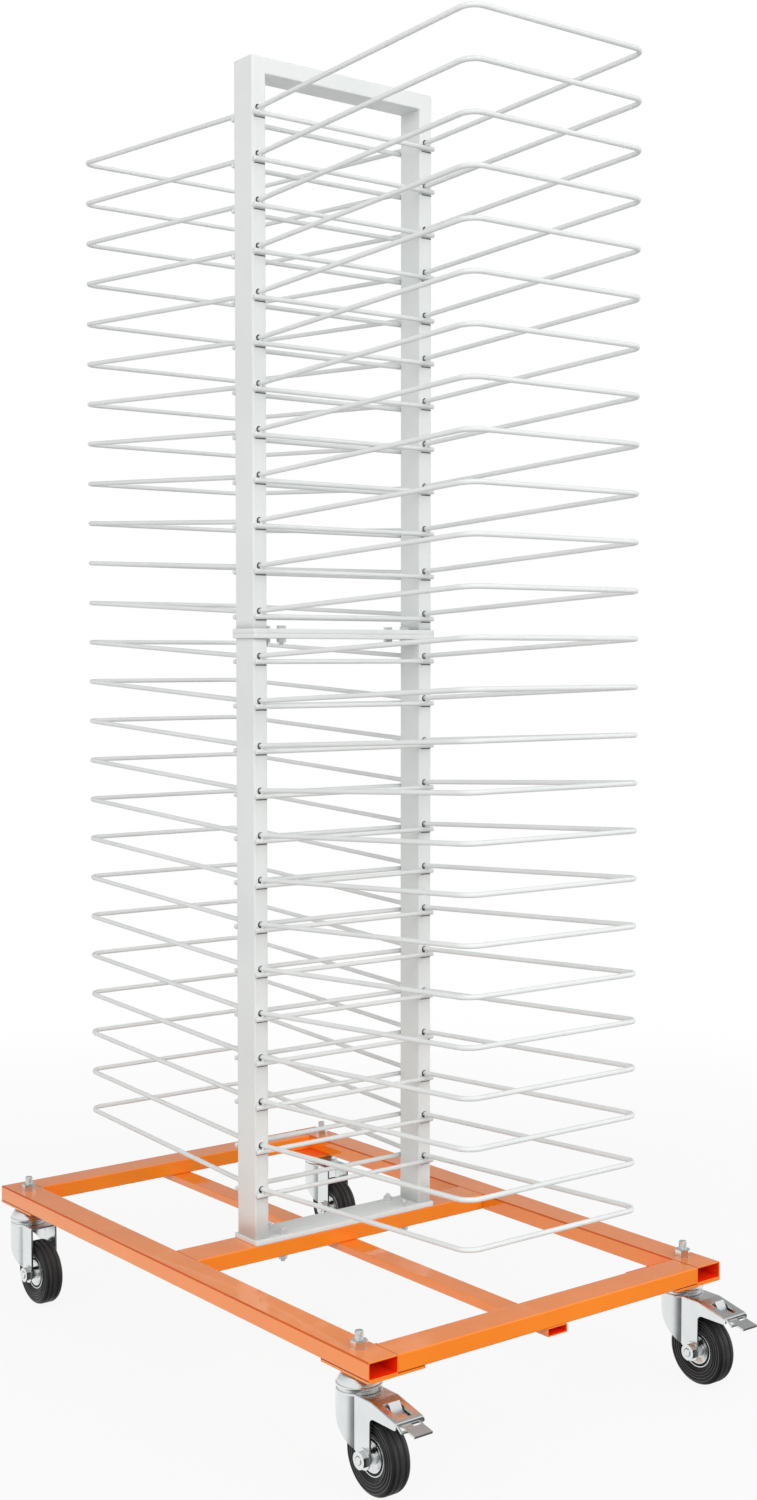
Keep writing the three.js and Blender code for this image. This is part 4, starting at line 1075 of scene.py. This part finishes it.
arm_foot = thick_strip(ARM_FOOT_LINE, ARM_FOOT_ACROSS, THIN_SHEET)
pin = along_x(turned(disc_line(PIN_RADIUS, -PIN_HALF, PIN_HALF), whole_turn(20)))
rivet = turned(RIVET_LINE, whole_turn(16))
for name, place, braked in casters:
    if not braked:
        continue
    body = name + "_pedal"
    # the pad is dark rubber: a brake facing, and also painted shade where it lies under the nose
    lay_piece(name + "_pedal_pad", [walled(*pad, place)], rubber, body)
    skins = [walled(*lever, place), sleeve(pin + place + [0, PIN_Y, PIN_Z]), walled(*tongue, place)]
    piece = lay_piece(name + "_pedal_lever", skins, zinc, body)
    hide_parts(name + "_brake")
    lay_piece(name + "_pedal_side_arm", [walled(*arm, place), walled(*arm_foot, place)], zinc, body)
    rivet_place = place + [RIVET_X, RIVET_Y, crown_height(RIVET_Y) - RIVET_ROOT]
    lay_piece(name + "_nose_rivet", [sleeve(rivet + rivet_place)], zinc, name)

# Studio: a pale floor, a pale surround, soft lamps at a plain level, and the camera where the photograph was
# taken from.
FLOOR_SIZE = 14.0
FLOOR_DROP = 0.0005
FLOOR_STOPS = ((0.3, (0.56, 0.56, 0.56)), (0.7, (0.6, 0.6, 0.6)))
FLOOR_GLOW = (0.9, 1.0)
GLOW_REACH = (0.9, 2.4)
WHITE = (1.0, 1.0, 1.0, 1.0)
CAMERA_PLACE = (RACK_MIDDLE + [-1432.64, -1926.53, 874.7]) * MM
CAMERA_PITCH = 87.147
CAMERA_YAW = -37.92
CAMERA_LENS = 45.21
DARK_PARTS = (
    ((0.0, -0.7, -0.71), (0.08, 0.58), (1.0, 0.12)),
    ((0.25, 0.5, 0.83), (0.35, 0.85), (1.0, 0.38)),
)
LAMPS = (
    ("key_lamp", (0.4, -6.6, 2.8), (0, 0, 0.7), 4.2, 215),
    ("edge_lamp", (2.0, -1.3, 3.3), (0, 0, 0.4), 1.6, 6),
    ("side_lamp", (-3.0, -1.3, 1.8), (0, 0, 0.7), 1.8, 27),
)


def fade(finish, value, reach, levels):
    """Smooth change from one level to another while a value crosses its reach."""
    inputs = dict(zip(("Value", "From Min", "From Max", "To Min", "To Max"), (value, *reach, *levels)))
    return add_shader(finish, "MapRange", inputs, interpolation_type="SMOOTHSTEP").outputs["Result"]


def combine(finish, first, second, operation):
    """One value from two."""
    return add_shader(finish, "Math", {0: first, 1: second}, operation=operation).outputs[0]


floor_mesh = bpy.data.meshes.new("floor")
across = np.linspace(-FLOOR_SIZE / 2, FLOOR_SIZE / 2, 9)
points, quads = grid(xyz(across, across[:, None], -FLOOR_DROP))
floor_mesh.from_pydata(points.tolist(), [], quads.tolist())
floor = bpy.data.objects.new("floor", floor_mesh)
bpy.context.scene.collection.objects.link(floor)
pale = bpy.data.materials.new("pale_floor")
pale.use_nodes = True
surface = pale.node_tree.nodes["Principled BSDF"]
surface.inputs["Roughness"].default_value = 0.6
pale.node_tree.links.new(cloudy(pale, 1.5, 3.0, FLOOR_STOPS), surface.inputs["Base Color"])
# only the camera sees the glow; mirrored rays pass through the floor
bright = add_shader(pale, "Emission", {"Color": WHITE, "Strength": 1.0})
rays = add_shader(pale, "LightPath", {}).outputs
spot = add_shader(pale, "TexCoord", {}).outputs["Object"]
away = add_shader(pale, "VectorMath", {0: spot}, operation="LENGTH").outputs["Value"]
seen = combine(pale, rays["Is Camera Ray"], fade(pale, away, GLOW_REACH, FLOOR_GLOW), "MULTIPLY")
lit = add_shader(pale, "MixShader", {0: seen, 1: surface.outputs[0], 2: bright.outputs[0]})
sharp = combine(pale, rays["Is Glossy Ray"], rays["Is Transmission Ray"], "MAXIMUM")
clear = add_shader(pale, "BsdfTransparent", {})
blend = add_shader(pale, "MixShader", {0: sharp, 1: lit.outputs[0], 2: clear.outputs[0]})
pale.node_tree.links.new(blend.outputs[0], pale.node_tree.nodes["Material Output"].inputs["Surface"])
floor_mesh.materials.append(pale)

world = bpy.data.worlds.new("pale_surround")
world.use_nodes = True
bpy.context.scene.world = world
rays = add_shader(world, "LightPath", {}).outputs
ahead = add_shader(world, "TexCoord", {}).outputs["Generated"]
fades = []
for direction, reach, levels in DARK_PARTS:
    toward = add_shader(world, "VectorMath", {0: ahead, 1: direction}, operation="DOT_PRODUCT")
    fades.append(fade(world, toward.outputs["Value"], reach, levels))
shade = combine(world, *fades, "MULTIPLY")
level = add_shader(world, "Mix", {0: rays["Is Camera Ray"], 2: shade, 3: 1.0}).outputs[0]
surround = world.node_tree.nodes["Background"]
surround.inputs["Color"].default_value = WHITE
world.node_tree.links.new(level, surround.inputs["Strength"])

for name, place, aim, size, power in LAMPS:
    lamp = bpy.data.lights.new(name, "AREA")
    lamp.size = size
    lamp.energy = power
    holder = bpy.data.objects.new(name, lamp)
    holder.location = place
    east, north, up = np.array(aim) - np.array(place)
    holder.rotation_euler = (math.atan2(math.hypot(east, north), -up), 0, math.atan2(-east, north))
    holder.visible_glossy = False
    bpy.context.scene.collection.objects.link(holder)

camera = bpy.data.cameras.new("camera")
camera.lens = CAMERA_LENS
camera.sensor_fit = "VERTICAL"
camera.sensor_height = 36.0
viewer = bpy.data.objects.new("camera", camera)
viewer.location = CAMERA_PLACE
viewer.rotation_euler = (math.radians(CAMERA_PITCH), 0, math.radians(CAMERA_YAW))
bpy.context.scene.collection.objects.link(viewer)
bpy.context.scene.camera = viewer
bpy.context.scene.view_settings.view_transform = "Standard"
